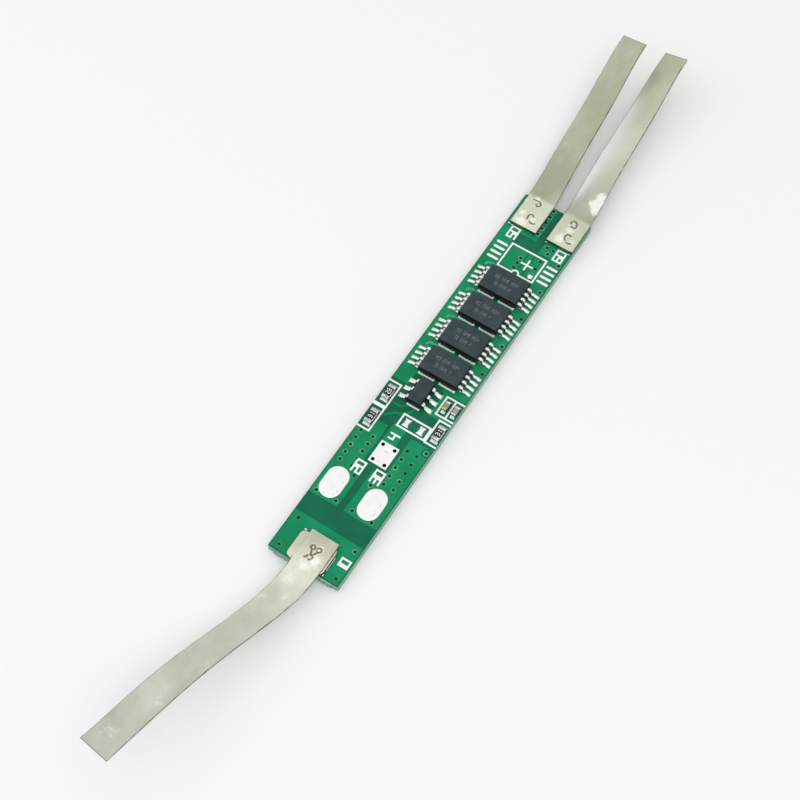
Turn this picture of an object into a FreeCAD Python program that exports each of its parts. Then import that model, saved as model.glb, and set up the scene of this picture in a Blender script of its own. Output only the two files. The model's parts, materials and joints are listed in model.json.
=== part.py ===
import FreeCAD, Part
import os
import re
import Sketcher

# A long narrow protection board for a two-cell pack: a green circuit board with four power
# switches in a row, one control chip, three resistors, two capacitors and three nickel strips
# welded to nickel tabs. Millimetres. X runs across the board, Y along it towards the two cell
# strips, Z up. The origin is the middle of the board's underside.

doc = FreeCAD.newDocument("BatteryBoard")

# Driving dimensions, one sheet cell each.
SIZES = {
    # Layers of the board, and the clear edge round its copper
    "core_thickness": 0.9,
    "copper_film": 0.035,
    "mask_film": 0.02,
    "tin_film": 0.025,
    "print_film": 0.015,
    "solder_film": 0.03,
    "copper_margin": 0.12,
    "isolation_gap": 0.17,
    "trace_width": 0.22,
    # Plated through holes
    "via_bore": 0.32,
    "via_wall": 0.03,
    "via_ring": 0.13,
    # Printed lines and figures
    "print_line": 0.18,
    "figure_stroke": 0.18,
    "figure_width": 0.55,
    "figure_height": 0.9,
    "figure_pitch": 0.75,
    # Near end, with the tab of the middle connection
    "near_pour_length": 4.36,
    "near_tab_width": 4.0,
    "near_tab_length": 3.0,
    "near_tab_offset": 0.05,
    "near_via_left": 0.83,
    "near_via_right": 0.58,
    "near_via_edge": 0.62,
    # Output pads
    "bare_band": 2.19,
    "out_pad_border": 0.27,
    "out_pad_width": 2.25,
    "out_pad_length": 3.45,
    "plus_pad_edge": 0.45,
    "minus_pad_edge": 0.72,
    "centre_channel": 0.75,
    "channel_offset": 0.26,
    # Third pad, between the output pours
    "label_band": 1.87,
    "third_pad_width": 2.0,
    "third_pad_length": 2.5,
    "third_pad_offset": 0.1,
    "third_via_inset": 0.35,
    "third_gap": 0.3,
    "third_label_band": 2.07,
    "plus_via_pitch": 0.9,
    "minus_via_pitch": 1.02,
    # Empty two-pad site
    "link_frame_length": 1.4,
    "link_frame_width": 3.0,
    "link_pad_width": 0.78,
    "link_pad_length": 0.95,
    "link_offset": 0.92,
    "link_pad_pitch": 1.62,
    "link_ic_gap": 1.06,
    # Resistors
    "resistor_length": 1.6,
    "resistor_width": 0.8,
    "resistor_thickness": 0.42,
    "resistor_cap": 0.36,
    "resistor_edge": 0.37,
    "right_resistor_edge": 0.1,
    "right_resistor_shift": 0.14,
    "resistor_frame_gap": 0.33,
    "first_resistor_gap": 0.65,
    "overcoat_film": 0.03,
    # Capacitors
    "capacitor_length": 1.0,
    "capacitor_width": 0.5,
    "capacitor_thickness": 0.5,
    "capacitor_cap": 0.25,
    "capacitor_pitch": 1.04,
    "capacitor_edge": 0.16,
    "capacitor_shift": 0.24,
    "capacitor_frame_gap": 0.36,
    "cap_metal": 0.02,
    "small_pad_reach": 0.22,
    "solder_rise": 0.2,
    # Control chip
    "ic_width": 1.6,
    "ic_length": 2.8,
    "ic_height": 1.0,
    "ic_standoff": 0.08,
    "ic_span": 2.8,
    "ic_foot": 0.4,
    "ic_shoulder": 0.15,
    "ic_lead_width": 0.4,
    "ic_lead_thickness": 0.15,
    "ic_pin_pitch": 0.95,
    "ic_pad_row": 2.9,
    "ic_pad_length": 0.8,
    "ic_pad_width": 0.45,
    "ic_offset": -0.35,
    "ic_chip_gap": 0.71,
    # Power switches
    "chip_width": 4.4,
    "chip_length": 2.9,
    "chip_height": 0.95,
    "chip_standoff": 0.08,
    "chip_span": 6.4,
    "chip_foot": 0.55,
    "chip_shoulder": 0.25,
    "chip_lead_width": 0.25,
    "chip_lead_thickness": 0.13,
    "chip_pin_pitch": 0.65,
    "chip_pad_row": 5.8,
    "chip_pad_length": 1.3,
    "chip_pad_width": 0.32,
    "chip_offset": 0.12,
    "chip_gap": 0.78,
    "chip_via_edge": 0.44,
    "chip_via_shift": 0.19,
    "mould_draft": 7.0,
    "lead_root": 0.3,
    "paddle_gap": 0.2,
    "die_thickness": 0.2,
    "die_border": 0.2,
    "board_side_margin": 0.3,
    "site_frame_inset": 0.2,
    "site_notch": 0.36,
    "site_cross": 1.35,
    "site_dot": 0.5,
    # Cell tabs
    "tab_zone_gap": 3.49,
    "cell_tab_width": 3.0,
    "cell_tab_length": 3.95,
    "plus_tab_edge": 0.42,
    "minus_tab_edge": 0.02,
    "tab_channel": 0.7,
    "tab_band": 1.05,
    "tab_thickness": 0.3,
    "tab_solder": 0.04,
    "tab_overhang": 0.1,
    "tab_corner": 0.25,
    "near_tab_corner": 0.5,
    "tab_via_pitch": 0.815,
    "tab_via_offset": 0.13,
    # Nickel strips
    "strip_width": 3.0,
    "strip_thickness": 0.15,
    "near_strip_shift": 0.28,
    "near_strip_overrun": 0.38,
    "weld_ring": 0.95,
    "weld_line": 0.2,
    "weld_depth": 0.05,
    "weld_inset": 0.62,
    "weld_pitch": 1.8,
    # Stubs where the board was snapped off its panel
    "nib_reach": 0.22,
}

# The free lengths of the strips, each as it was bent by hand: distance past the board's end,
# drift to the side, rise, swing about the upright in degrees, and turn about its own length.
BEND = ("out", "drift", "rise", "swing", "turn")
BENDS = {
    "plus": [(4.15, -0.34, 0.18, 5.6, 9.3), (8.29, -0.63, 0.62, 0.4, 12.8),
             (12.4, -0.81, 1.36, 0, 13.8), (16.42, -1.01, 2.45, -2.9, 14.5),
             (20.34, -0.99, 3.88, -9.4, 15.4)],
    "minus": [(4.34, -0.32, 0.12, 5.3, 8.5), (8.67, -0.59, 0.4, 0.6, 12.7),
              (12.99, -0.7, 0.93, -1, 16.4), (17.25, -0.81, 1.83, -5.1, 20.5),
              (21.39, -0.73, 3.16, -13.1, 24.7)],
    "near": [(5.06, -0.57, 0.43, -10.1, 9.3), (9.92, -1.73, 1.5, -10.8, 11.8),
             (14.75, -2.77, 2.83, -9.1, 2.9), (19.61, -3.45, 4.29, -7.7, -3.6),
             (24.42, -3.93, 5.99, -7, -5.3)],
}
for strip, bends in BENDS.items():
    for i, bend in enumerate(bends, 1):
        for what, value in zip(BEND, bend):
            SIZES[f"{strip}_bend_{i}_{what}"] = value

# Lengths that follow from the driving ones: heights from the underside, and distances along
# the board from its near edge.
LAYOUT = {
    "core_base": "mask_film + copper_film",
    "core_top": "core_base + core_thickness",
    "copper_top": "core_top + copper_film",
    "pad_top": "copper_top + tin_film",
    "foot_base": "pad_top + solder_film",
    "board_top": "copper_top + mask_film",
    "print_top": "board_top + print_film",
    "half_width": "chip_pad_row / 2 + chip_pad_length / 2 + board_side_margin",
    "copper_half": "half_width - copper_margin",
    "via_outer": "via_bore / 2 + via_wall",
    "out_start": "near_pour_length + bare_band",
    "out_y": "out_start + out_pad_border + out_pad_length / 2",
    "out_end": "out_y + out_pad_length / 2",
    "plus_x": "plus_pad_edge + out_pad_width / 2 - half_width",
    "minus_x": "half_width - minus_pad_edge - out_pad_width / 2",
    "channel_left": "0 - channel_offset - centre_channel / 2",
    "channel_right": "centre_channel / 2 - channel_offset",
    "third_start": "out_end + label_band",
    "third_y": "third_start + third_pad_length / 2",
    "third_end": "third_start + third_pad_length",
    "third_left": "third_pad_offset - third_pad_width / 2",
    "third_right": "third_pad_offset + third_pad_width / 2",
    "pour_end": "third_end + third_label_band * 0.75",
    "link_y": "third_end + third_label_band + link_frame_length / 2",
    "link_end": "link_y + link_frame_length / 2",
    "left_resistor_x": "resistor_edge + resistor_width / 2 - half_width",
    "right_resistor_x": "half_width - right_resistor_edge - resistor_width / 2",
    "resistor_half_frame": "resistor_length / 2 + resistor_frame_gap + small_pad_reach",
    "resistor_one_y": "third_end + first_resistor_gap + resistor_length / 2",
    "resistor_two_y": "resistor_one_y + 2 * resistor_half_frame + print_line * 2",
    "resistor_three_y": "link_end - right_resistor_shift",
    "ic_y": "link_end + link_ic_gap + ic_length / 2",
    "capacitor_y": "ic_y + capacitor_shift",
    "capacitor_two_x": "half_width - capacitor_edge - capacitor_width / 2",
    "capacitor_one_x": "capacitor_two_x - capacitor_pitch",
    "chip_step": "chip_length + chip_gap",
    "chip_one_y": "ic_y + ic_length / 2 + ic_chip_gap + chip_length / 2",
    "chip_two_y": "chip_one_y + chip_step",
    "chip_three_y": "chip_one_y + 2 * chip_step",
    "chip_four_y": "chip_one_y + 3 * chip_step",
    "spare_y": "chip_one_y + 4 * chip_step",
    "column_left": "chip_offset - chip_pad_row / 2 + chip_pad_length / 2 + isolation_gap / 2",
    "column_right": "chip_offset + chip_pad_row / 2 - chip_pad_length / 2 - isolation_gap / 2",
    "far_via_x": "half_width - chip_via_edge",
    "tab_start": "spare_y + tab_zone_gap",
    "board_length": "tab_start + cell_tab_length",
    "half_length": "board_length / 2",
    "plus_tab_x": "plus_tab_edge + cell_tab_width / 2 - half_width",
    "minus_tab_x": "half_width - minus_tab_edge - cell_tab_width / 2",
    "tab_via_x": "plus_tab_x + cell_tab_width / 2 + tab_via_offset",
    "tab_pour_edge": "tab_via_x + via_outer + via_ring + isolation_gap",
    "tab_base": "pad_top + tab_solder",
    "tab_top": "tab_base + tab_thickness",
    "strip_top": "tab_top + strip_thickness",
    "strip_middle": "tab_top + strip_thickness / 2",
    "near_strip_x": "near_tab_offset + near_strip_shift",
}

sheet = doc.addObject("Spreadsheet::Sheet", "Sizes")
for row, (alias, value) in enumerate(SIZES.items(), start=1):
    sheet.set(f"A{row}", str(value))
    sheet.setAlias(f"A{row}", alias)
doc.recompute()


# Shared helpers. A span is a pair of formulas, the low end and the high end.

def bind(formula):
    """The formula written out in sheet cells, with the lengths that follow from them in full."""
    def spell(match):
        word = match.group()
        if word in ("sqrt", "atan2", "placement", "vector", "rotationy", "rotationz"):
            return word
        return f"Sizes.{word}" if word in SIZES else f"({bind(LAYOUT[word])})"
    return re.sub(r"\b[a-z]\w*", spell, str(formula))


def around(middle, size):
    return (f"({middle}) - ({size}) / 2", f"({middle}) + ({size}) / 2")


def place(item, x="0", y="0", z="0"):
    for axis, formula in zip("xyz", (x, y, z)):
        item.setExpression(f"Placement.Base.{axis}", bind(formula))


def block(name, x, y, z):
    item = doc.addObject("Part::Box", name)
    for side, (low, high) in zip(("Length", "Width", "Height"), (x, y, z)):
        item.setExpression(side, bind(f"({high}) - ({low})"))
    place(item, x[0], y[0], z[0])
    return item


def drum(name, radius, x, y, z):
    item = doc.addObject("Part::Cylinder", name)
    item.setExpression("Radius", bind(radius))
    item.setExpression("Height", bind(f"({z[1]}) - ({z[0]})"))
    place(item, x, y, z[0])
    return item


def fuse(name, items):
    item = doc.addObject("Part::MultiFuse", name)
    item.Shapes = items
    item.Refine = True
    return item


def group(name, items):
    item = doc.addObject("Part::Compound", name)
    item.Links = items
    return item


def cut(name, base, tool):
    item = doc.addObject("Part::Cut", name)
    item.Base = base
    item.Tool = tool
    return item


NODES = []


def node(item, label, x="0", y="0"):
    """Hand over a finished piece, drawn from the near edge, in the board's own frame."""
    item.Label = label
    place(item, x, f"({y}) - half_length")
    NODES.append(item)
    return item


def origin_part(body, role):
    return [part for part in body.Origin.OriginFeatures if part.Role == role][0]


def new_body(name):
    body = doc.addObject("PartDesign::Body", name)
    body.AllowCompound = True
    return body


def new_sketch(body, name, role="XY_Plane", lift="0"):
    sketch = body.newObject("Sketcher::SketchObject", name)
    sketch.AttachmentSupport = [(origin_part(body, role), "")]
    sketch.MapMode = "FlatFace"
    if lift:
        sketch.setExpression("AttachmentOffset.Base.z", bind(lift))
    return sketch


def tie(sketch, geometry, point, x, y):
    """Tie a point of the sketch to two formulas, measured from the sketch's own origin."""
    for kind, formula in (("DistanceX", x), ("DistanceY", y)):
        index = sketch.addConstraint(Sketcher.Constraint(kind, -1, 1, geometry, point, 1.0))
        sketch.setExpression(f"Constraints[{index}]", bind(formula))


def polygon(sketch, corners):
    """A closed outline whose corners are pairs of formulas."""
    count = len(corners)
    first = sketch.GeometryCount
    rough = [FreeCAD.Vector(1 + i, 1 + (i * i) % count, 0) for i in range(count)]
    for i in range(count):
        sketch.addGeometry(Part.LineSegment(rough[i], rough[(i + 1) % count]), False)
    for i in range(count):
        after = first + (i + 1) % count
        sketch.addConstraint(Sketcher.Constraint("Coincident", first + i, 2, after, 1))
    for i, (x, y) in enumerate(corners):
        tie(sketch, first + i, 1, x, y)


def rectangle(sketch, x, y):
    polygon(sketch, [(x[0], y[0]), (x[1], y[0]), (x[1], y[1]), (x[0], y[1])])


def circle(sketch, radius, x, y):
    index = sketch.addGeometry(Part.Circle(FreeCAD.Vector(1, 1, 0), FreeCAD.Vector(0, 0, 1), 1), False)
    tie(sketch, index, 3, x, y)
    at = sketch.addConstraint(Sketcher.Constraint("Radius", index, 1.0))
    sketch.setExpression(f"Constraints[{at}]", bind(radius))


def pad(body, name, sketch, thickness, midplane=False):
    item = body.newObject("PartDesign::Pad", name)
    item.Profile = sketch
    item.Midplane = midplane
    item.setExpression("Length", bind(thickness))
    return item


def pocket(body, name, sketch, depth):
    """Cut down from a sketch that lies on the top face, and make sure that it did cut."""
    doc.recompute()
    before = body.Shape.Volume
    item = body.newObject("PartDesign::Pocket", name)
    item.Profile = sketch
    item.setExpression("Length", bind(depth))
    doc.recompute()
    if body.Shape.Volume >= before:
        raise RuntimeError(f"{name} cuts nothing")


def row_of(body, name, feature, pitch, count):
    """Repeat a feature along the board."""
    doc.recompute()
    item = body.newObject("PartDesign::LinearPattern", name)
    item.Originals = [feature]
    item.Direction = (origin_part(body, "Y_Axis"), [""])
    item.setExpression("Length", bind(f"{pitch} * {count - 1}"))
    item.Occurrences = count
    body.Tip = item


# Where the plated holes are: X, and the distance from the near edge.

SITES = ["chip_one_y", "chip_two_y", "chip_three_y", "chip_four_y", "spare_y"]
LONE_VIA = ("far_via_x", "pour_end - via_outer - via_ring - isolation_gap * 1.25")
THIRD_VIAS = [(f"third_pad_offset + {side} * (third_pad_width / 2 - third_via_inset)",
               f"third_y + {end} * (third_pad_length / 2 - third_via_inset)")
              for side in (-1, 1) for end in (-1, 1)]


def via_places():
    places = [LONE_VIA] + THIRD_VIAS
    for x in ("near_via_left - half_width", "half_width - near_via_right"):
        places += [(x, "near_via_edge"), (x, "near_pour_length - near_via_edge")]
    for x, side in (("plus_x", 1), ("minus_x", -1)):
        beside = f"{x} + {side} * (out_pad_width / 2 + via_outer / 2)"
        places += [(beside, f"out_y + {end} * (out_pad_length / 2 - via_outer)") for end in (-1, 1)]
        corner = "(out_pad_width / 2 + via_outer * 1.2)"
        places.append((f"{x} - {side} * {corner} * 0.7",
                       f"out_y - out_pad_length / 2 + out_pad_width / 2 - {corner} * 0.714"))
    for i in range(5):
        for x in ("plus_x - 0.88", "plus_x + 0.47"):
            places.append((x, f"out_end + via_bore * 1.75 + {i} * plus_via_pitch"))
        for x in ("minus_x - 0.25", "minus_x + 0.84"):
            places.append((x, f"out_end + via_bore * 1.75 + {i} * minus_via_pitch"))
        edge = "board_length - copper_margin - via_outer - via_ring / 3"
        places.append(("tab_via_x", f"{edge} - {i} * tab_via_pitch"))
        places.append(("far_via_x", f"{SITES[i]} + chip_step / 2 - chip_via_shift"))
    for x, back in ((0.43, 0.58), (1.19, 0.58), (0.86, 1.2)):
        places.append((f"tab_pour_edge + tab_channel + {x}", f"tab_start - {back}"))
    for x, ahead in ((-0.42, 0.41), (-0.42, -0.27), (-0.42, -0.94),
                     (1.48, 1.1), (1.48, 0.07), (1.48, -0.75)):
        places.append((f"chip_offset + {x}", f"spare_y + {ahead}"))
    return places


def drums(name, radius, places, z):
    return group(name, [drum(f"{name}_{i}", radius, x, y, z) for i, (x, y) in enumerate(places, 1)])


VIAS = via_places()
THROUGH = ("0", "board_top")
drill = drums("drill", "via_outer", VIAS, THROUGH)
bores = drums("bores", "via_bore / 2", VIAS, THROUGH)


# Glass-fibre core, drilled, with the ragged stubs at its near edge: where each one starts and
# ends, as shares of the half width, and how far its teeth reach, as shares of nib_reach.

SNAPPED = [(-0.85, -0.36), (0.42, 0.83)]
TEETH = (0.3, 0.9, 0.5, 1, 0.7, 0.85, 0.4, 0.95, 0.6, 0.8, 0.25)


def build_core():
    body = new_body("core_slab")
    sketch = new_sketch(body, "core_outline", lift="core_base")
    rectangle(sketch, ("0 - half_width", "half_width"), ("0", "board_length"))
    pad(body, "core_pad", sketch, "core_thickness")
    for i, (low, high) in enumerate(SNAPPED, 1):
        teeth = [(f"{low + (high - low) * step / (len(TEETH) - 1)} * half_width", f"{0 - reach} * nib_reach")
                 for step, reach in enumerate(TEETH)]
        ragged = new_sketch(body, f"snapped_edge_{i}", lift="core_base + core_thickness * 0.1")
        polygon(ragged, [(teeth[0][0], "nib_reach")] + teeth + [(teeth[-1][0], "nib_reach")])
        pad(body, f"snapped_stub_{i}", ragged, "core_thickness * 0.8")
    node(cut("core_drilled", body, drill), "laminate_core")


# Soldering pads of every site, as spans in X and Y, grouped by what they are for.

PASSIVES = [
    ("resistor", "left_resistor_x", "resistor_one_y"),
    ("resistor", "left_resistor_x", "resistor_two_y"),
    ("resistor", "right_resistor_x", "resistor_three_y"),
    ("capacitor", "capacitor_one_x", "capacitor_y"),
    ("capacitor", "capacitor_two_x", "capacitor_y"),
]


def two_rows(kind, middle, pins):
    """The pads of a package with a row of pins on each side."""
    return [(around(f"{kind}_offset + {side} * {kind}_pad_row / 2", f"{kind}_pad_length"),
             around(f"{middle} + {i - (pins - 1) / 2} * {kind}_pin_pitch", f"{kind}_pad_width"))
            for side in (-1, 1) for i in range(pins)]


def end_pads(kind, x, y):
    """The two pads of a small part that lies along the board."""
    inner, outer = f"({kind}_length / 2 - {kind}_cap)", f"({kind}_length / 2 + small_pad_reach)"
    return [(around(x, f"{kind}_width"), (f"{y} + {inner}", f"{y} + {outer}")),
            (around(x, f"{kind}_width"), (f"{y} - {outer}", f"{y} - {inner}"))]


PADS = {
    "chip_pads": [spans for middle in SITES[:4] for spans in two_rows("chip", middle, 4)]
    + two_rows("ic", "ic_y", 3),
    "empty_site_pads": two_rows("chip", "spare_y", 4),
    "small_part_pads": [spans for part in PASSIVES for spans in end_pads(*part)],
    "link_pads": [(around(f"link_offset + {side} * link_pad_pitch / 2", "link_pad_width"),
                   around("link_y", "link_pad_length")) for side in (-1, 1)],
}
TABS = {
    "plus": ("plus_tab_x", "cell_tab_width", ("tab_start", "board_length")),
    "minus": ("minus_tab_x", "cell_tab_width", ("tab_start", "board_length")),
    "near": ("near_tab_offset", "near_tab_width", ("0", "near_tab_length")),
}


def tab_footprint(name):
    """The tinned area under a tab: inside its edges, and clear of the board's edges."""
    x, width, y = TABS[name]
    at_edge = "(copper_margin + tab_overhang)"
    low, high = (at_edge, "tab_overhang") if name == "near" else ("tab_overhang", at_edge)
    return ((f"{x} - {width} / 2 + tab_overhang", f"{x} + {width} / 2 - {at_edge}"),
            (f"{y[0]} + {low}", f"{y[1]} - {high}"))


# Copper, 0.035 thick: pours and tracks on the upper face and three plain pours below.

COPPER = ("core_top", "copper_top")
GAP_MIDDLE = "chip_length / 2 + chip_gap / 2"

POURS = [
    (("0 - copper_half", "copper_half"), ("copper_margin", "near_pour_length")),
    (("0 - copper_half", "channel_left"), ("out_start", "third_start - label_band * 0.38")),
    (("0 - copper_half", "third_left - third_gap"), ("out_end", "third_end")),
    (("left_resistor_x + resistor_width / 2 + third_gap", "third_left - third_gap"), ("third_y", "pour_end")),
    (("channel_right", "copper_half"), ("out_start", "third_start - label_band * 0.38")),
    (("third_right + third_gap", "copper_half"), ("out_end", "pour_end")),
    (("third_left", "third_right"), ("third_start", "third_end")),
    (("third_left", "third_right - centre_channel * 0.7"), ("third_y", "link_y - link_frame_length / 2")),
    (("0 - copper_half", "column_left"), ("ic_y + 0.4", "board_length - copper_margin")),
    (("column_right", "copper_half"), ("ic_y + ic_length / 2 + 0.2", "board_length - copper_margin")),
    (("ic_offset + ic_span / 2", "copper_half"),
     ("ic_y + ic_length / 2 + 0.2", "chip_one_y - chip_length / 2 - isolation_gap")),
    (("ic_offset + ic_pad_row / 2 + ic_pad_length / 2 - 0.1", "capacitor_one_x - capacitor_width / 2 - 0.3"),
     ("ic_y - ic_length / 2 + 0.1", "ic_y + ic_length / 2 + 0.3")),
    (("ic_offset + ic_pad_row / 2 + ic_pad_length / 2 - 0.1", "copper_half"),
     ("ic_y - ic_length / 2 + 0.1", "ic_y - ic_length / 2 + 0.6")),
    (("chip_offset - 1.9", "chip_offset - 0.05"), around("spare_y", "chip_length - isolation_gap * 2")),
    (("chip_offset + 0.12", "chip_offset + 0.62"), around("spare_y", "chip_length - isolation_gap * 2")),
    (("chip_offset + 0.78", "chip_offset + 1.9"), around("spare_y", "chip_length - isolation_gap * 2")),
    (("0 - copper_half", "tab_pour_edge - isolation_gap"),
     ("tab_start - tab_band / 2", "board_length - copper_margin")),
    (("tab_pour_edge + tab_channel", "copper_half"),
     ("tab_start - tab_band * 1.55", "board_length - copper_margin")),
]

# Each track is a list of corners, laid as straight runs with round ends.
TRACKS = [
    [("left_resistor_x + 0.9", "ic_y - 2.0"), ("ic_offset - 1.0", "ic_y - 2.0"), ("ic_offset - 0.5", "ic_y - 1.6")],
    [("left_resistor_x + 0.9", "ic_y - 3.55"), ("ic_offset - 1.0", "ic_y - 2.8"),
     ("ic_offset - 0.4", "ic_y - 2.65"), ("ic_offset + 0.3", "ic_y - 1.75")],
    [("column_left - 0.6", "ic_y + 0.6"), ("column_left - 0.6", "ic_y + 1.5"),
     ("column_left - 0.1", "ic_y + 1.9"), ("ic_offset - 0.9", "ic_y + 1.95")],
] + [
    [("column_left - 0.4", f"{middle} + {GAP_MIDDLE} - 0.25"), ("column_left", f"{middle} + {GAP_MIDDLE} + 0.1"),
     ("column_right", f"{middle} + {GAP_MIDDLE} + 0.1")]
    for middle in SITES[:3]
]


def run(name, start, end, radius, z):
    """A straight run of track from one corner to the next."""
    dx, dy = f"(({end[0]}) - ({start[0]}))", f"(({end[1]}) - ({start[1]}))"
    reach = f"sqrt({dx} * {dx} + {dy} * {dy})"
    item = doc.addObject("Part::Box", name)
    item.setExpression("Length", bind(reach))
    item.setExpression("Width", bind(f"2 * {radius}"))
    item.setExpression("Height", bind(f"({z[1]}) - ({z[0]})"))
    place(item, f"({start[0]}) + {dy} / {reach} * {radius}", f"({start[1]}) - {dx} / {reach} * {radius}", z[0])
    item.setExpression("Placement.Rotation.Angle", bind(f"atan2({dy}; {dx})"))
    return item


def pattern(name, grow, z):
    """The copper pattern of the upper face as one shape, widened all round by grow."""
    def wide(spans):
        return [(f"({low}) - {grow}", f"({high}) + {grow}") for low, high in spans]
    pours = [block(f"{name}_pour_{i}", *wide(spans), z) for i, spans in enumerate(POURS, 1)]
    ring = "via_outer + via_ring"
    moat = drum(f"{name}_moat", f"{ring} + isolation_gap - {grow}", *LONE_VIA, z)
    items = [cut(f"{name}_with_moat", fuse(f"{name}_pours", pours), moat),
             drum(f"{name}_lone_ring", f"{ring} + {grow}", *LONE_VIA, z)]
    for key, pads in PADS.items():
        items += [block(f"{name}_{key}_{i}", *wide(spans), z) for i, spans in enumerate(pads, 1)]
    radius = f"(trace_width / 2 + {grow})"
    for i, corners in enumerate(TRACKS, 1):
        items += [run(f"{name}_track_{i}_{j}", start, end, radius, z)
                  for j, (start, end) in enumerate(zip(corners, corners[1:]), 1)]
        items += [drum(f"{name}_bend_{i}_{j}", radius, x, y, z) for j, (x, y) in enumerate(corners, 1)]
    return fuse(f"{name}_pattern", items)


def build_copper():
    upper = cut("upper_copper_drilled", pattern("copper", "0", COPPER), drill)
    node(group("upper_copper_at_site", [upper]), "upper_copper")
    across, z = ("0 - copper_half", "copper_half"), ("mask_film", "core_base")
    lower = [block("lower_near", across, ("copper_margin", "near_pour_length"), z),
             block("lower_middle", across, ("out_start", "chip_one_y"), z),
             block("lower_far", across, ("chip_one_y + isolation_gap", "board_length - copper_margin"), z)]
    lower = cut("lower_copper_drilled", group("lower_pours", lower), drill)
    node(group("lower_copper_at_site", [lower]), "lower_copper")
    return upper, lower


# Tinned pads: thin plates in the openings of the lacquer.

TIN = ("copper_top", "pad_top")


def stadium(name, x, y, z):
    """A long pad with round ends."""
    reach = "(out_pad_length / 2 - out_pad_width / 2)"
    bar = block(f"{name}_bar", around(x, "out_pad_width"), (f"{y} - {reach}", f"{y} + {reach}"), z)
    ends = [drum(f"{name}_end_{i}", "out_pad_width / 2", x, f"{y} + {end} * {reach}", z)
            for i, end in enumerate((-1, 1), 1)]
    return fuse(name, [bar] + ends)


def build_tinned_pads():
    for key, pads in PADS.items():
        blocks = [block(f"{key}_{i}", x, y, TIN) for i, (x, y) in enumerate(pads, 1)]
        node(group(f"{key}_plates", blocks), key)
    for label, x in (("output_plus_pad", "plus_x"), ("output_minus_pad", "minus_x")):
        node(stadium(f"{label}_plate", x, "out_y", TIN), label)
    third = block("third_plate", around("third_pad_offset", "third_pad_width"),
                  around("third_y", "third_pad_length"), TIN)
    holes = drums("third_holes", "via_outer", THIRD_VIAS, TIN)
    node(cut("third_plate_drilled", third, holes), "third_pad")
    blocks = [block(f"{name}_tab_tin", *tab_footprint(name), TIN) for name in TABS]
    node(group("tab_tin", blocks), "tab_pads")


# Green lacquer over and under the board, open at the pads and the plated holes. Above, it
# follows the copper: one film thick on the bare core, and raised where it lies on copper.

LACQUER_BASE = "core_top + mask_film"


def build_lacquer(upper, lower):
    spans = ("0 - half_width", "half_width"), ("0", "board_length")
    film = block("upper_lacquer_film", *spans, ("core_top", LACQUER_BASE))
    raised = fuse("upper_lacquer_blank", [film, pattern("cover", "mask_film", ("core_top", "board_top"))])
    openings = [block(f"opening_{key}_{i}", x, y, TIN)
                for key, pads in PADS.items() for i, (x, y) in enumerate(pads, 1)]
    openings += [stadium(f"opening_{x}", x, "out_y", TIN) for x in ("plus_x", "minus_x")]
    openings.append(block("opening_third", around("third_pad_offset", "third_pad_width"),
                          around("third_y", "third_pad_length"), TIN))
    openings += [block(f"opening_tab_{name}", *tab_footprint(name), TIN) for name in TABS]
    covered = cut("upper_lacquer_on_copper", cut("upper_lacquer_drilled", raised, drill), upper)
    above = cut("upper_lacquer_open", covered, group("openings", openings))
    node(group("upper_lacquer_at_site", [above]), "upper_lacquer")
    below = cut("lower_lacquer_drilled", block("lower_lacquer_film", *spans, ("0", "core_base")), drill)
    node(cut("lower_lacquer_on_copper", below, lower), "lower_lacquer")
    return above


# Nickel tabs, the solder under them, and the strips welded on top.

def build_tab(name):
    x, width, y = TABS[name]
    film = block(f"{name}_tab_solder_film", *tab_footprint(name), ("pad_top", "tab_base"))
    node(group(f"{name}_tab_joint", [film]), f"{name}_tab_solder")
    body = new_body(f"{name}_tab_body")
    sketch = new_sketch(body, f"{name}_tab_outline", lift="tab_base")
    rectangle(sketch, around(x, width), y)
    plate = pad(body, f"{name}_tab_plate", sketch, "tab_thickness")
    doc.recompute()
    upright = [f"Edge{i}" for i, edge in enumerate(plate.Shape.Edges, 1)
               if abs(edge.tangentAt(edge.FirstParameter).z) > 0.99]
    corners = body.newObject("PartDesign::Fillet", f"{name}_tab_corners")
    corners.Base = (plate, upright)
    corners.setExpression("Radius", bind("near_tab_corner" if name == "near" else "tab_corner"))
    node(body, f"{name}_tab")


WELDS = {
    "plus": [("0 - weld_ring * 0.1", "board_length - weld_inset"),
             ("weld_ring * 0.1", "board_length - weld_inset - weld_pitch")],
    "minus": [("0", "board_length - weld_inset"),
              ("weld_ring * 0.3", "board_length - weld_inset - weld_pitch")],
    "near": [("0 - weld_ring * 0.3", "near_tab_length / 2")],
}


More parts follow.
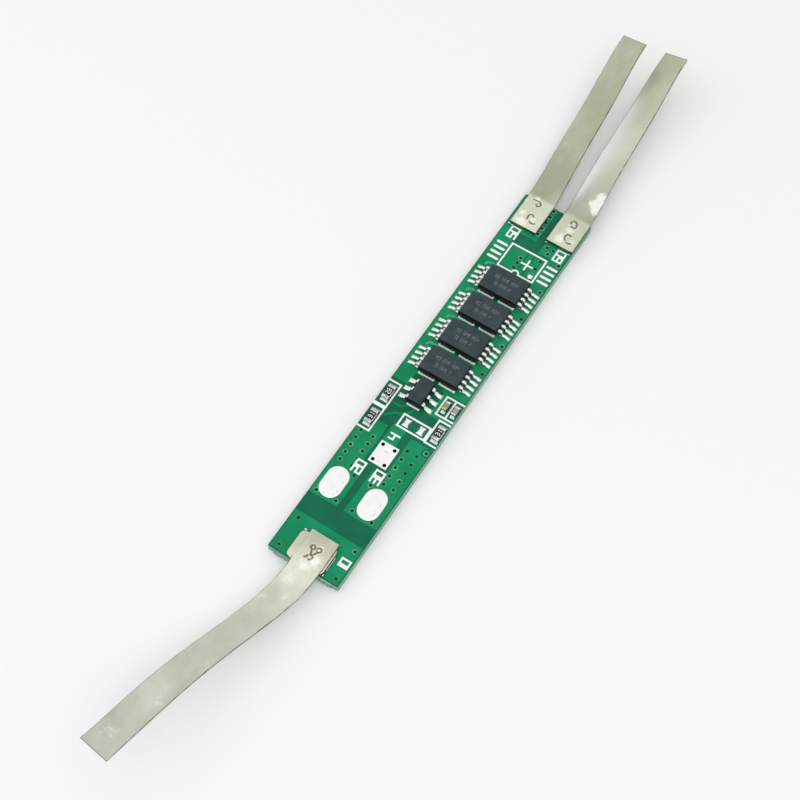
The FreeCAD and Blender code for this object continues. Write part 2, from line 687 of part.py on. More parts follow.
def build_strip(name):
    """A flat welded end, then a free length lofted through its bends."""
    x = "near_strip_x" if name == "near" else TABS[name][0]
    flat = ("0", "near_tab_length + near_strip_overrun") if name == "near" else ("tab_start", "board_length")
    edge, way = ("0", "-1") if name == "near" else ("board_length", "1")
    body = new_body(f"{name}_strip_body")
    sketch = new_sketch(body, f"{name}_strip_end", lift="tab_top")
    rectangle(sketch, around(x, "strip_width"), flat)
    pad(body, f"{name}_strip_flat", sketch, "strip_thickness")
    stations = []
    for i in range(len(BENDS[name]) + 1):
        out, drift, rise, swing, turn = (f"{name}_bend_{i}_{what}" if i else "0" for what in BEND)
        section = new_sketch(body, f"{name}_strip_section_{i}", "XZ_Plane", None)
        spot = f"vector({x} + {drift}; strip_middle + {rise}; 0 - ({edge}) - ({way}) * {out})"
        section.setExpression("AttachmentOffset",
                              bind(f"placement({spot}; rotationy({swing}) * rotationz({turn}))"))
        rectangle(section, around("0", "strip_width"), around("0", "strip_thickness"))
        stations.append(section)
    loft = body.newObject("PartDesign::AdditiveLoft", f"{name}_strip_free")
    loft.Profile = stations[0]
    loft.Sections = stations[1:]
    marks = new_sketch(body, f"{name}_weld_rings", lift="strip_top")
    for shift, y in WELDS[name]:
        circle(marks, "weld_ring / 2", f"{x} + {shift}", y)
        circle(marks, "weld_ring / 2 - weld_line", f"{x} + {shift}", y)
    pocket(body, f"{name}_welds", marks, "weld_depth")
    node(body, f"{name}_strip")


# A moulded package with two rows of bent leads, drawn with its own middle at X 0, Y 0.

def build_package(kind, pins):
    thickness, split = f"{kind}_lead_thickness", f"(foot_base + {kind}_standoff + {kind}_height / 2)"
    half, tip = f"{kind}_width / 2", f"{kind}_span / 2"
    top, low = f"{split} + {thickness} / 2", f"{split} - {thickness} / 2"
    lead = [(f"{half} - lead_root", top), (f"{half} + {kind}_shoulder", top),
            (f"{tip} - {kind}_foot + {thickness} * 0.4", f"foot_base + {thickness}"),
            (tip, f"foot_base + {thickness}"), (tip, "foot_base"), (f"{tip} - {kind}_foot", "foot_base"),
            (f"{half} + {kind}_shoulder - {thickness} * 0.6", low), (f"{half} - lead_root", low)]
    inner, outer = (f"{kind}_pad_row / 2 {sign} {kind}_pad_length / 2" for sign in "-+")
    joint = [(inner, "pad_top"), (outer, "pad_top"), (tip, f"foot_base + {thickness} * 0.8"),
             (tip, "foot_base"), (inner, "foot_base")]
    first = f"({(pins - 1) / 2} * {kind}_pin_pitch)"
    bodies = {}
    for what, profile, width in (("leads", lead, f"{kind}_lead_width"), ("joints", joint, f"{kind}_pad_width")):
        body = new_body(f"{kind}_{what}")
        sketch = new_sketch(body, f"{kind}_{what}_profile", "XZ_Plane", first)
        polygon(sketch, profile)
        polygon(sketch, [(f"0 - ({x})", z) for x, z in profile])
        pair = pad(body, f"{kind}_{what}_pair", sketch, width, midplane=True)
        row_of(body, f"{kind}_{what}_row", pair, f"{kind}_pin_pitch", pins)
        bodies[what] = body
    across = (f"lead_root - {half}", f"{half} - lead_root - paddle_gap")
    paddle = block(f"{kind}_paddle", across, around("0", f"{kind}_length - lead_root * 2"), (low, top))
    die = block(f"{kind}_die", (f"{across[0]} + die_border", f"{across[1]} - die_border"),
                around("0", f"{kind}_length - lead_root * 2 - die_border * 2"), (top, f"{top} + die_thickness"))
    frame = fuse(f"{kind}_frame", [bodies["leads"], paddle])
    mould = new_body(f"{kind}_mould")
    sketch = new_sketch(mould, f"{kind}_parting_line", lift=split)
    rectangle(sketch, around("0", f"{kind}_width"), around("0", f"{kind}_length"))
    for part, reverse in (("upper", False), ("lower", True)):
        half_shell = pad(mould, f"{kind}_{part}_half", sketch, f"{kind}_height / 2")
        half_shell.Reversed = reverse
        half_shell.setExpression("TaperAngle", bind("0 - mould_draft"))
    filled = cut(f"{kind}_mould_over_die", cut(f"{kind}_mould_over_frame", mould, frame), die)
    return {"mould": filled, "leads": frame, "die": die, "solder": bodies["joints"]}


def place_package(kind, label, pieces, y):
    for what, piece in pieces.items():
        node(group(f"{label}_{what}_at_site", [piece]), f"{label}_{what}", f"{kind}_offset", y)


# Small parts with metal ends, drawn along Y with their own middle at X 0, Y 0.

def build_small_part(kind):
    side, base, top = f"{kind}_length / 2", "foot_base", f"foot_base + {kind}_thickness"
    inner = (around("0", f"{kind}_width - cap_metal * 2"), around("0", f"{kind}_length - cap_metal * 2"),
             (f"{base} + cap_metal", f"{top} - cap_metal"))
    core = block(f"{kind}_body", *inner)
    ends = [block(f"{kind}_end_{i}", around("0", f"{kind}_width"), span, (base, top)) for i, span in enumerate(
        ((f"0 - {side}", f"{kind}_cap - {side}"), (f"{side} - {kind}_cap", side)), 1)]
    caps = cut(f"{kind}_caps", group(f"{kind}_ends", ends), core)
    body = new_body(f"{kind}_joints")
    sketch = new_sketch(body, f"{kind}_joint_profile", "YZ_Plane")
    profile = [(f"{side} - {kind}_cap", "pad_top"), (f"{side} + small_pad_reach", "pad_top"),
               (side, f"{base} + solder_rise"), (side, base), (f"{side} - {kind}_cap", base)]
    polygon(sketch, profile)
    polygon(sketch, [(f"0 - ({y})", z) for y, z in profile])
    pad(body, f"{kind}_joint_pair", sketch, f"{kind}_width", midplane=True)
    return {"body": core, "ends": caps}, body


def build_small_parts():
    resistor, resistor_joints = build_small_part("resistor")
    capacitor, capacitor_joints = build_small_part("capacitor")
    coat_top = "foot_base + resistor_thickness - cap_metal"
    resistor["coat"] = block("resistor_coat", around("0", "resistor_width - cap_metal * 4"),
                             around("0", "resistor_length - resistor_cap * 2"),
                             (coat_top, f"{coat_top} + overcoat_film"))
    joints = []
    for number, (kind, x, y) in enumerate(PASSIVES, 1):
        pieces, master = (resistor, resistor_joints) if kind == "resistor" else (capacitor, capacitor_joints)
        label = f"{kind}_{number if kind == 'resistor' else number - 3}"
        for what, piece in pieces.items():
            node(group(f"{label}_{what}_at_site", [piece]), f"{label}_{what}", x, y)
        joint = group(f"{label}_joints_at_site", [master])
        place(joint, x, y)
        joints.append(joint)
    node(group("small_part_joints", joints), "small_part_solder")


# White print: site frames, bars and plain figures. It is drawn through the lacquer's relief,
# and what lies below the surface is cut away.

PRINT = (LACQUER_BASE, "print_top")


def printed(name, marks, upper, lacquer):
    inked = cut(f"{name}_off_holes", fuse(f"{name}_marks", marks), drill)
    node(cut(f"{name}_on_lacquer", cut(f"{name}_off_copper", inked, upper), lacquer), name)


def bar(name, x, y):
    """A printed line from the middle of one end to the middle of the other."""
    grown = [(f"({low}) - print_line / 2", f"({high}) + print_line / 2") for low, high in (x, y)]
    return block(name, *grown, PRINT)


def open_frame(name, x, y, sides):
    """The named sides of a rectangle of printed lines."""
    spans = {"left": ((x[0], x[0]), y), "right": ((x[1], x[1]), y),
             "near": (x, (y[0], y[0])), "far": (x, (y[1], y[1]))}
    return [bar(f"{name}_{side}", *spans[side]) for side in sides.split()]


def site_marks(name, middle):
    """The frame of a power switch with a half-round notch in its near side, and a pin dot."""
    x = around("chip_offset", "chip_width - site_frame_inset * 2")
    y = around(middle, "chip_length + print_line / 2")
    notch = ("chip_offset - site_notch", "chip_offset + site_notch")
    marks = open_frame(name, x, y, "left right far")
    marks += [bar(f"{name}_near_left", (x[0], notch[0]), (y[0], y[0])),
              bar(f"{name}_near_right", (notch[1], x[1]), (y[0], y[0]))]
    outer = drum(f"{name}_notch_outer", "site_notch + print_line / 2", "chip_offset", y[0], PRINT)
    inner = drum(f"{name}_notch_inner", "site_notch - print_line / 2", "chip_offset", y[0], PRINT)
    outer.Angle = 180
    marks.append(cut(f"{name}_notch", outer, inner))
    marks.append(drum(f"{name}_pin_dot", "site_dot / 2", f"{x[1]} - site_dot", f"{y[0]} + site_dot", PRINT))
    return marks


def build_print(upper, lacquer):
    marks = []
    for i, middle in enumerate(SITES, 1):
        marks += site_marks(f"site_{i}", middle)
    arm = "(site_cross / 2 - print_line / 2)"
    cross = ("chip_offset + chip_width / 8", "spare_y")
    marks.append(bar("cross_across", (f"{cross[0]} - {arm}", f"{cross[0]} + {arm}"), (cross[1], cross[1])))
    marks.append(bar("cross_along", (cross[0], cross[0]), (f"{cross[1]} - {arm}", f"{cross[1]} + {arm}")))
    marks.append(bar("ic_bar", around("ic_offset", "ic_width - print_line * 2"),
                     around("ic_y - ic_length / 2", "0")))
    marks += open_frame("link", around("link_offset", "link_frame_width"), around("link_y", "link_frame_length"),
                        "left right near far")
    fence = "left_resistor_x + resistor_width / 2 + resistor_frame_gap / 2"
    edge = ("print_line / 2 - half_width", fence)
    ends = ("resistor_one_y - resistor_half_frame", "resistor_two_y + resistor_half_frame")
    marks += open_frame("left_pair", edge, ends, "right near far")
    marks.append(bar("left_pair_middle", edge, ("resistor_one_y + resistor_half_frame + print_line / 2",
                                                "resistor_two_y - resistor_half_frame - print_line / 2")))
    fence = "right_resistor_x - resistor_width / 2 - resistor_frame_gap / 2 - print_line"
    marks += open_frame("right_one", (fence, "half_width - print_line / 2"),
                        around("resistor_three_y", "resistor_half_frame * 2"), "left near far")
    middle = "(capacitor_one_x + capacitor_two_x) / 2"
    x = ("capacitor_one_x - capacitor_width / 2 - print_line * 1.4", "half_width - print_line / 2")
    y = around("capacitor_y", "capacitor_length + (small_pad_reach + capacitor_frame_gap) * 2")
    marks += open_frame("capacitors", x, y, "left near far")
    marks.append(bar("capacitor_divider", (middle, middle), y))
    printed("printed_lines", marks, upper, lacquer)


# Which strokes of a squared figure are inked: top, upper right, lower right, foot, lower left,
# upper left, middle. Figures read along the board, with their tops towards its left edge.
STROKES = {"0": "1111110", "1": "0110000", "2": "1101101", "3": "1111001", "4": "0110011",
           "5": "1011011", "6": "1011111", "7": "1110000"}
FIGURES = [
    ("10", "copper_half - figure_height - figure_stroke", "near_tab_length * 0.45"),
    ("20", "channel_left - figure_height - figure_stroke * 0.7", "out_end + figure_stroke"),
    ("30", "channel_right + figure_stroke * 1.8", "out_end + figure_stroke"),
    ("4", "third_left + third_pad_width / 2 - figure_height / 2 - figure_stroke", "third_end + figure_width"),
    ("50", "column_left - figure_height", "tab_start - figure_pitch * 2"),
    ("60", "column_right + figure_stroke", "tab_start - figure_pitch * 2"),
]


def figure(name, digit, x, y):
    left, middle, right = x, f"{x} + figure_height / 2", f"{x} + figure_height"
    near, far = y, f"{y} + figure_width"
    half = "figure_stroke / 2"
    spans = [((left, left), (near, far)), ((left, middle), (far, far)), ((middle, right), (far, far)),
             ((right, right), (near, far)), ((middle, right), (near, near)), ((left, middle), (near, near)),
             ((middle, middle), (near, far))]
    return [block(f"{name}_{i}", *[(f"({low}) - {half}", f"({high}) + {half}") for low, high in span], PRINT)
            for i, (ink, span) in enumerate(zip(STROKES[digit], spans), 1) if ink == "1"]


def build_figures(upper, lacquer):
    strokes = []
    for text, x, y in FIGURES:
        for i, digit in enumerate(text):
            strokes += figure(f"figure_{text}_{i}", digit, x, f"{y} + {i} * figure_pitch")
    printed("printed_figures", strokes, upper, lacquer)


# Build everything.

build_core()
upper_copper, lower_copper = build_copper()
build_tinned_pads()
upper_lacquer = build_lacquer(upper_copper, lower_copper)
node(cut("barrels", drill, bores), "via_barrels")
build_print(upper_copper, upper_lacquer)
build_figures(upper_copper, upper_lacquer)
for tab in TABS:
    build_tab(tab)
    build_strip(tab)
switch = build_package("chip", 4)
for count, site in enumerate(SITES[:4], 1):
    place_package("chip", f"switch_{count}", switch, site)
place_package("ic", "controller", build_package("ic", 3), "ic_y")
build_small_parts()
doc.recompute()

# Check every object, then write one STEP file for each piece.

for item in doc.Objects:
    if set(item.State) & {"Invalid", "Error"}:
        raise RuntimeError(f"{item.Label} did not build: {item.State}")
for item in NODES:
    if item.Shape.isNull() or not item.Shape.isValid():
        raise RuntimeError(f"{item.Label} has no valid shape")
os.makedirs("parts", exist_ok=True)
for item in NODES:
    item.Shape.exportStep(f"parts/{item.Label}.step")
print(len(NODES), "pieces written")
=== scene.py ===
import bmesh
import bpy
import json
import math
from mathutils import Matrix, Vector, noise


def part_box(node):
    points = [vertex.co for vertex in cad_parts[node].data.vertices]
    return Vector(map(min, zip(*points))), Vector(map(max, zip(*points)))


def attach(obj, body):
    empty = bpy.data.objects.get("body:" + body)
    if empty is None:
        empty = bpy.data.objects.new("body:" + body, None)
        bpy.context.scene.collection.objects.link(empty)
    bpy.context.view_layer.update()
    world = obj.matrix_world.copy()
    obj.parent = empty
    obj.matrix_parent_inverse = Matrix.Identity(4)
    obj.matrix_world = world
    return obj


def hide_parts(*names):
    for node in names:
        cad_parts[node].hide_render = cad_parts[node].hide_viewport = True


# Looks of a long narrow protection board with four power switches, a control chip, small parts
# and three nickel strips. Lengths here are millimetres in the board's own frame, and become
# metres when a piece is handed over.

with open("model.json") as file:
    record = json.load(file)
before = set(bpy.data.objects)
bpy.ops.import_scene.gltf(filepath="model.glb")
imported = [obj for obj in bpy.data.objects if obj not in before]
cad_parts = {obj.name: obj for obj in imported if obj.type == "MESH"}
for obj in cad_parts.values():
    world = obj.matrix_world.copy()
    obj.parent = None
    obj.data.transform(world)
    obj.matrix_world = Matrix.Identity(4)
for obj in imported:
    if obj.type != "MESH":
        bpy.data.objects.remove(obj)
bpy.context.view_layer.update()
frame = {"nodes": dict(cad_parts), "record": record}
CAD = frame["nodes"]
MM = 0.001


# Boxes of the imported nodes.

def box(node):
    """The lowest and highest corner of a CAD node, in millimetres."""
    return [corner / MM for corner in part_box(node)]


def middle(node):
    low, high = box(node)
    return (low + high) / 2


def halfway(low, high):
    """The x and y halfway between two corners."""
    return (low.x + high.x) / 2, (low.y + high.y) / 2


def islands(node):
    """The box of each separate solid of a CAD node, ordered along the board."""
    bm = bmesh.new()
    bm.from_mesh(CAD[node].data)
    bmesh.ops.remove_doubles(bm, verts=bm.verts, dist=1e-7)
    left, found = set(bm.verts), []
    while left:
        group, stack = [], [left.pop()]
        while stack:
            vert = stack.pop()
            group.append(vert.co / MM)
            for edge in vert.link_edges:
                other = edge.other_vert(vert)
                if other in left:
                    left.remove(other)
                    stack.append(other)
        found.append(tuple(Vector(pick(p[i] for p in group) for i in range(3)) for pick in (min, max)))
    bm.free()
    return sorted(found, key=lambda ends: (round(ends[0].y, 3), ends[0].x))


# Materials. Each one is a Principled shader fed by procedural nodes in millimetres.

LACQUER_ON_LAMINATE, LACQUER_ON_COPPER = 0.985, 1.0
NEAR_SPAN, FAR_SPAN = (-47.6, -20), (19, 43)


def srgb(red, green, blue):
    """A colour as a screen shows it, 0 to 255."""
    def linear(value):
        value /= 255
        return value / 12.92 if value <= 0.04045 else ((value + 0.055) / 1.055) ** 2.4
    return (linear(red), linear(green), linear(blue), 1)


class Finish:
    def __init__(self, name, **sockets):
        self.material = bpy.data.materials.new(name)
        self.material.use_nodes = True
        self.tree = self.material.node_tree
        self.shader = self.tree.nodes["Principled BSDF"]
        for socket, value in sockets.items():
            self.shader.inputs[socket.replace("_", " ")].default_value = value
        scale = self.node("ShaderNodeVectorMath", operation="SCALE")
        scale.inputs["Scale"].default_value = 1 / MM
        self.link(self.node("ShaderNodeTexCoord").outputs["Object"], scale.inputs[0])
        self.place = scale.outputs[0]

    def node(self, kind, **settings):
        node = self.tree.nodes.new(kind)
        for key, value in settings.items():
            setattr(node, key, value)
        return node

    def link(self, source, target):
        self.tree.links.new(source, target)

    def feed(self, target, value):
        """Give a socket a number, a colour or another node's output."""
        if isinstance(value, bpy.types.NodeSocket):
            self.link(value, target)
        else:
            target.default_value = value

    def axis(self, name):
        split = self.node("ShaderNodeSeparateXYZ")
        self.link(self.place, split.inputs[0])
        return split.outputs[name]

    def grain(self, scale, stretch=(1, 1, 1), detail=3, roughness=0.55):
        """Noise with about scale blotches to the millimetre."""
        mapping = self.node("ShaderNodeMapping")
        mapping.inputs["Scale"].default_value = stretch
        self.link(self.place, mapping.inputs["Vector"])
        texture = self.node("ShaderNodeTexNoise")
        self.link(mapping.outputs[0], texture.inputs["Vector"])
        texture.inputs["Scale"].default_value = scale
        texture.inputs["Detail"].default_value = detail
        texture.inputs["Roughness"].default_value = roughness
        return texture.outputs["Fac"]

    def between(self, value, low, high, start=0.0, end=1.0):
        """Map the range low to high onto start to end, and clamp."""
        node = self.node("ShaderNodeMapRange")
        for socket, number in zip(("Value", "From Min", "From Max", "To Min", "To Max"),
                                  (value, low, high, start, end)):
            self.feed(node.inputs[socket], number)
        return node.outputs["Result"]

    def maths(self, operation, first, second):
        node = self.node("ShaderNodeMath", operation=operation)
        self.feed(node.inputs[0], first)
        self.feed(node.inputs[1], second)
        return node.outputs[0]

    def mix(self, share, first, second):
        node = self.node("ShaderNodeMix", data_type="RGBA")
        self.feed(node.inputs["Factor"], share)
        self.feed(node.inputs[6], first)
        self.feed(node.inputs[7], second)
        return node.outputs[2]

    def facing(self, axis, low, high):
        """How far faces turn along an axis: nought up to low, one from high on."""
        split = self.node("ShaderNodeSeparateXYZ")
        self.link(self.node("ShaderNodeNewGeometry").outputs["Normal"], split.inputs[0])
        return self.between(self.maths("ABSOLUTE", split.outputs[axis], 0), low, high)

    def ramp(self, value, *stops):
        node = self.node("ShaderNodeValToRGB")
        self.feed(node.inputs["Fac"], value)
        marks = node.color_ramp.elements
        while len(marks) < len(stops):
            marks.new(0.5)
        for mark, (position, colour) in zip(marks, stops):
            mark.position, mark.color = position, colour
        return node.outputs["Color"]

    def attribute(self, name):
        return self.node("ShaderNodeAttribute", attribute_name=name).outputs["Fac"]

    def bump(self, *layers):
        """Bumps from (height, depth in millimetres), one on top of the other."""
        normal = None
        for height, depth in layers:
            node = self.node("ShaderNodeBump")
            node.inputs["Distance"].default_value = depth * MM
            self.feed(node.inputs["Height"], height)
            if normal:
                self.link(normal, node.inputs["Normal"])
            normal = node.outputs["Normal"]
        self.link(normal, self.shader.inputs["Normal"])

    def colour(self, value):
        self.feed(self.shader.inputs["Base Color"], value)

    def rough(self, value):
        self.feed(self.shader.inputs["Roughness"], value)


def lacquer_finish():
    """Green lacquer: bright where it lies on copper, darker and duller on bare laminate."""
    it = Finish("green_lacquer", Specular_IOR_Level=0.14)
    blotch = it.grain(0.35, detail=4)
    on_copper = it.mix(it.between(blotch, 0.35, 0.65), srgb(6, 130, 84), srgb(20, 145, 98))
    on_laminate = it.mix(it.between(blotch, 0.35, 0.65), srgb(8, 98, 68), srgb(16, 111, 78))
    height = it.between(it.axis("Z"), LACQUER_ON_LAMINATE, LACQUER_ON_COPPER)
    it.colour(it.mix(height, on_laminate, on_copper))
    it.rough(it.between(it.grain(2.2), 0.3, 0.7, 0.26, 0.42))
    it.bump((it.grain(1.1), 0.01), (it.grain(9), 0.002))
    return it.material


def rim_finish():
    """Lacquer heaped round a plated hole: pale along its outer edge, green inside it."""
    it = Finish("heaped_lacquer", Specular_IOR_Level=0.3)
    pale = it.mix(it.between(it.grain(0.9), 0.4, 0.6), srgb(110, 186, 148), srgb(150, 212, 178))
    it.colour(it.mix(it.attribute("marks_and_painted_light"), srgb(8, 110, 72), pale))
    it.rough(it.between(it.grain(5), 0.3, 0.7, 0.3, 0.5))
    it.bump((it.grain(6), 0.004))
    return it.material


def hole_finish(name, dark, light, glint=None):
    """A glossy film in two tones, with a paler painted glint where the mesh marks one."""
    it = Finish(name, Specular_IOR_Level=0.1)
    tone = it.mix(it.between(it.grain(3), 0.35, 0.65), dark, light)
    it.colour(it.mix(it.attribute("marks_and_painted_light"), tone, glint) if glint else tone)
    it.rough(it.between(it.grain(5), 0.3, 0.7, 0.35, 0.6))
    return it.material


def laminate_finish():
    """The cut edge of glass-fibre board: fine layers along the board, with paler frayed fibres."""
    it = Finish("glass_fibre_laminate", Specular_IOR_Level=0.3)
    layers = it.grain(1.0, stretch=(0.25, 0.25, 16), detail=2)
    frays = it.grain(5, stretch=(1, 1, 2.5), detail=3)
    body = it.mix(it.between(layers, 0.35, 0.65), srgb(92, 134, 114), srgb(150, 184, 166))
    it.colour(it.mix(it.between(frays, 0.56, 0.72), body, srgb(204, 216, 202)))
    it.rough(it.between(frays, 0.3, 0.7, 0.55, 0.85))
    it.bump((layers, 0.02), (frays, 0.015))
    return it.material


def metal_finish(name, dark, light, roughness, scale=1.5, depth=0.006, scuff=None, painted_shade=None,
                 slope=(0.35, 0.85), sides=None):
    """Bright metal with soft blotches, darker scuffs where the mesh marks them, and painted shade on its
    flanks: faces that lie steeper than slope, or else faces that turn along Y by more than sides."""
    it = Finish(name, Metallic=1)
    tone = it.mix(it.between(it.grain(scale, detail=4), 0.35, 0.65), dark, light)
    # Painted shade: steep faces, or faces turned along Y, are mixed to a darker tone.
    if sides:
        tone = it.mix(it.facing("Y", *sides), tone, painted_shade)
    elif painted_shade:
        tone = it.mix(it.facing("Z", *slope), painted_shade, tone)
    it.colour(it.mix(it.attribute("marks_and_painted_light"), tone, scuff) if scuff else tone)
    it.rough(it.between(it.grain(scale * 3), 0.3, 0.7, roughness[0], roughness[1]))
    it.bump((it.grain(scale * 1.4), depth), (it.grain(scale * 8), depth / 4))
    return it.material


def strip_finish(name, span, stain, *stops):
    """Rolled nickel strip: fine lines along it, cloudy stains, painted reflection and shade that change over
    a span of Y as it bends, and the burnt marks with painted edge shade, ragged painted glare patches and
    pale painted reflection that the mesh carries."""
    it = Finish(name, Metallic=1)
    along = it.between(it.axis("Y"), *span)
    lines = it.grain(3, stretch=(7, 0.12, 7), detail=3)
    clouds = it.grain(0.3, stretch=(1, 0.7, 1), detail=6, roughness=0.6)
    # Painted reflection and shade: the ramp lightens and darkens the strip along Y where its bends face the
    # light differently.
    tone = it.ramp(along, *stops)
    tone = it.mix(it.between(clouds, 0.34, 0.5, stain, 0), tone, srgb(148, 150, 126))
    tone = it.mix(it.between(clouds, 0.5, 0.66, 0, stain * 1.3), tone, srgb(236, 239, 226))
    tone = it.mix(it.between(lines, 0.4, 0.75, 0, 0.16), tone, srgb(222, 224, 212))
    # Painted highlight: ragged near-white glare patches where the mesh marks painted glare.
    ragged = it.between(it.grain(2.4, detail=5, roughness=0.65), 0.3, 0.7, -0.32, 0.32)
    glare_patch = it.between(it.maths("ADD", it.attribute("painted_glare"), ragged), 0.34, 1.0)
    tone = it.mix(glare_patch, tone, srgb(254, 254, 244))
    # Painted reflection: a pale band where the mesh marks sheen.
    tone = it.mix(it.attribute("sheen"), tone, srgb(238, 242, 241))
    # Painted shade: steep faces, the strip's edges and its end, are darkened.
    tone = it.mix(it.facing("Z", 0.3, 0.75), srgb(84, 88, 78), tone)
    # Burnt weld marks, with painted shade along the edges and at the tip, darken where the mesh marks them.
    it.colour(it.mix(it.attribute("marks_and_painted_light"), tone, srgb(66, 62, 44)))
    it.rough(it.between(it.grain(2.0), 0.3, 0.7, 0.34, 0.5))
    it.bump((lines, 0.004), (it.grain(0.8), 0.02), (it.grain(7), 0.002))
    return it.material


def mould_finish():
    """Dark moulding compound: matt, finely pitted and dusty on top, with painted shade that makes its sides
    nearly black.
    """
    it = Finish("moulding_compound", Specular_IOR_Level=0.3)
    body = it.mix(it.between(it.grain(1.2, detail=5), 0.35, 0.65), srgb(44, 56, 59), srgb(56, 69, 72))
    body = it.mix(it.between(it.grain(14, detail=2), 0.62, 0.75, 0, 0.4), body, srgb(84, 94, 96))
    # Painted shade: steep sides are mixed to near black.
    it.colour(it.mix(it.facing("Z", 0.3, 0.9), srgb(16, 22, 23), body))
    it.rough(it.between(it.grain(8), 0.3, 0.7, 0.5, 0.72))
    it.bump((it.grain(11, detail=4), 0.01))
    return it.material


def paint_finish(name, dark, light, roughness=(0.5, 0.75), scale=4.0, depth=0.004):
    """A matt surface with slight changes of tone: ink, ceramic or glaze."""
    it = Finish(name, Specular_IOR_Level=0.3)
    it.colour(it.mix(it.between(it.grain(scale, detail=4), 0.35, 0.65), dark, light))
    it.rough(it.between(it.grain(scale * 2), 0.3, 0.7, roughness[0], roughness[1]))
    it.bump((it.grain(scale * 1.5), depth))
    return it.material


GREY, PALE = srgb(238, 240, 238), srgb(252, 253, 251)
# Painted shade: the dark tones given to the steep sides of the metal finishes below.
PAINTED_SIDE_SHADE = srgb(84, 96, 90)
FINISHES = {
    "lacquer": lacquer_finish(),
    "laminate": laminate_finish(),
    "copper": metal_finish("copper_foil", srgb(168, 104, 74), srgb(205, 138, 100), (0.3, 0.5)),
    "print": paint_finish("white_ink", srgb(242, 245, 242), srgb(254, 255, 254)),
    "tin": metal_finish("bright_tin", srgb(248, 249, 247), srgb(255, 255, 254), (0.3, 0.4), depth=0.002,
                        scuff=srgb(110, 110, 112), painted_shade=PAINTED_SIDE_SHADE, slope=(0.3, 0.75)),
    "solder": metal_finish("bright_solder", GREY, PALE, (0.24, 0.38), scale=3, depth=0.003,
                           painted_shade=srgb(112, 126, 118), slope=(0.2, 0.55)),
    "nickel": metal_finish("tab_nickel", srgb(206, 206, 190), srgb(228, 228, 214), (0.36, 0.5), scale=0.8,
                           painted_shade=srgb(96, 98, 84), slope=(0.2, 0.6)),
    "mould": mould_finish(),
    "silicon": paint_finish("silicon", srgb(54, 56, 66), srgb(84, 86, 98), (0.2, 0.35)),
    "lead": metal_finish("tinned_lead", srgb(240, 242, 238), srgb(253, 254, 251), (0.24, 0.4), scale=3,
                         painted_shade=srgb(34, 48, 44), sides=(0.4, 0.8)),
    "resistor_body": paint_finish("alumina", srgb(214, 214, 206), srgb(236, 236, 230)),
    "resistor_coat": paint_finish("black_overcoat", srgb(24, 24, 25), srgb(38, 38, 40), (0.3, 0.5)),
    "capacitor_body": paint_finish("tan_ceramic", srgb(150, 132, 96), srgb(186, 166, 124), (0.4, 0.6)),
    "end_metal": metal_finish("tinned_end", srgb(164, 172, 166), srgb(232, 235, 230), (0.28, 0.48), scale=3,
                              painted_shade=PAINTED_SIDE_SHADE, slope=(0.2, 0.5)),
}
RIM = rim_finish()
# Painted shade: the barrel walls and the plugs in the holes are near black, as holes look in shade, and the
# plugs carry a painted glint.
HOLE = hole_finish("hole_wall", srgb(4, 14, 10), srgb(14, 34, 26))
PLUG = hole_finish("hole_plug_painted_shade", srgb(2, 12, 8), srgb(6, 24, 17), srgb(60, 116, 90))
FILM = hole_finish("pad_film", srgb(40, 98, 76), srgb(92, 142, 120))
# Painted highlight: pale green for the ridges where the copper's edge lies under the lacquer.
COPPER_EDGE_HIGHLIGHT = paint_finish("copper_edge_painted_highlight", srgb(52, 154, 114), srgb(90, 182, 144), (0.3, 0.45))
MARK = paint_finish("faint_marks", srgb(84, 98, 100), srgb(116, 130, 132), (0.6, 0.8))
ROSE_CERAMIC = paint_finish("rose_ceramic", srgb(158, 142, 132), srgb(186, 170, 160), (0.4, 0.6))
# The stops below are painted light: lighter and darker bands along each strip that follow how its bends face
# the light.
NEAR_STRIP = strip_finish("near_strip_nickel", NEAR_SPAN, 0.27, (0, srgb(205, 206, 192)),
                          (0.6, srgb(209, 212, 196)), (0.86, srgb(232, 235, 216)), (1, srgb(193, 192, 169)))
PLUS_STRIP = strip_finish("plus_strip_nickel", FAR_SPAN, 0.14, (0, srgb(228, 232, 210)),
                          (0.16, srgb(220, 223, 203)), (0.18, srgb(172, 176, 154)),
                          (0.6, srgb(182, 186, 161)), (1, srgb(176, 179, 155)))
MINUS_STRIP = strip_finish("minus_strip_nickel", FAR_SPAN, 0.16, (0, srgb(218, 225, 198)),
                           (0.16, srgb(204, 209, 184)), (0.18, srgb(170, 175, 155)),
                           (0.55, srgb(218, 221, 202)), (1, srgb(190, 194, 169)))


# Mesh helpers.

def hand_over(name, bm, finish, slot, *nodes, angle=35):
    """A finished mesh, in millimetres, becomes a piece of the board that stands for some nodes."""
    bmesh.ops.recalc_face_normals(bm, faces=bm.faces)
    mesh = bpy.data.meshes.new(name)
    bm.to_mesh(mesh)
    bm.free()
    mesh.transform(Matrix.Scale(MM, 4))
    mesh.shade_smooth()
    mesh.set_sharp_from_angle(angle=math.radians(angle))
    item = bpy.data.objects.new(name, mesh)
    bpy.context.scene.collection.objects.link(item)
    mesh.materials.append(finish)
    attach(item, "root")
    if nodes:
        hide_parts(*nodes)


def rounded(x, y, half_x, half_y, radius, steps=4):
    """The corners of a rounded rectangle, as a closed loop of (x, y)."""
    loop = []
    for corner, (side_x, side_y) in enumerate(((1, 1), (-1, 1), (-1, -1), (1, -1))):
        for i in range(steps + 1):
            angle = (corner + i / steps) * math.pi / 2
            loop.append((x + side_x * (half_x - radius) + radius * math.cos(angle),
                         y + side_y * (half_y - radius) + radius * math.sin(angle)))
    return loop


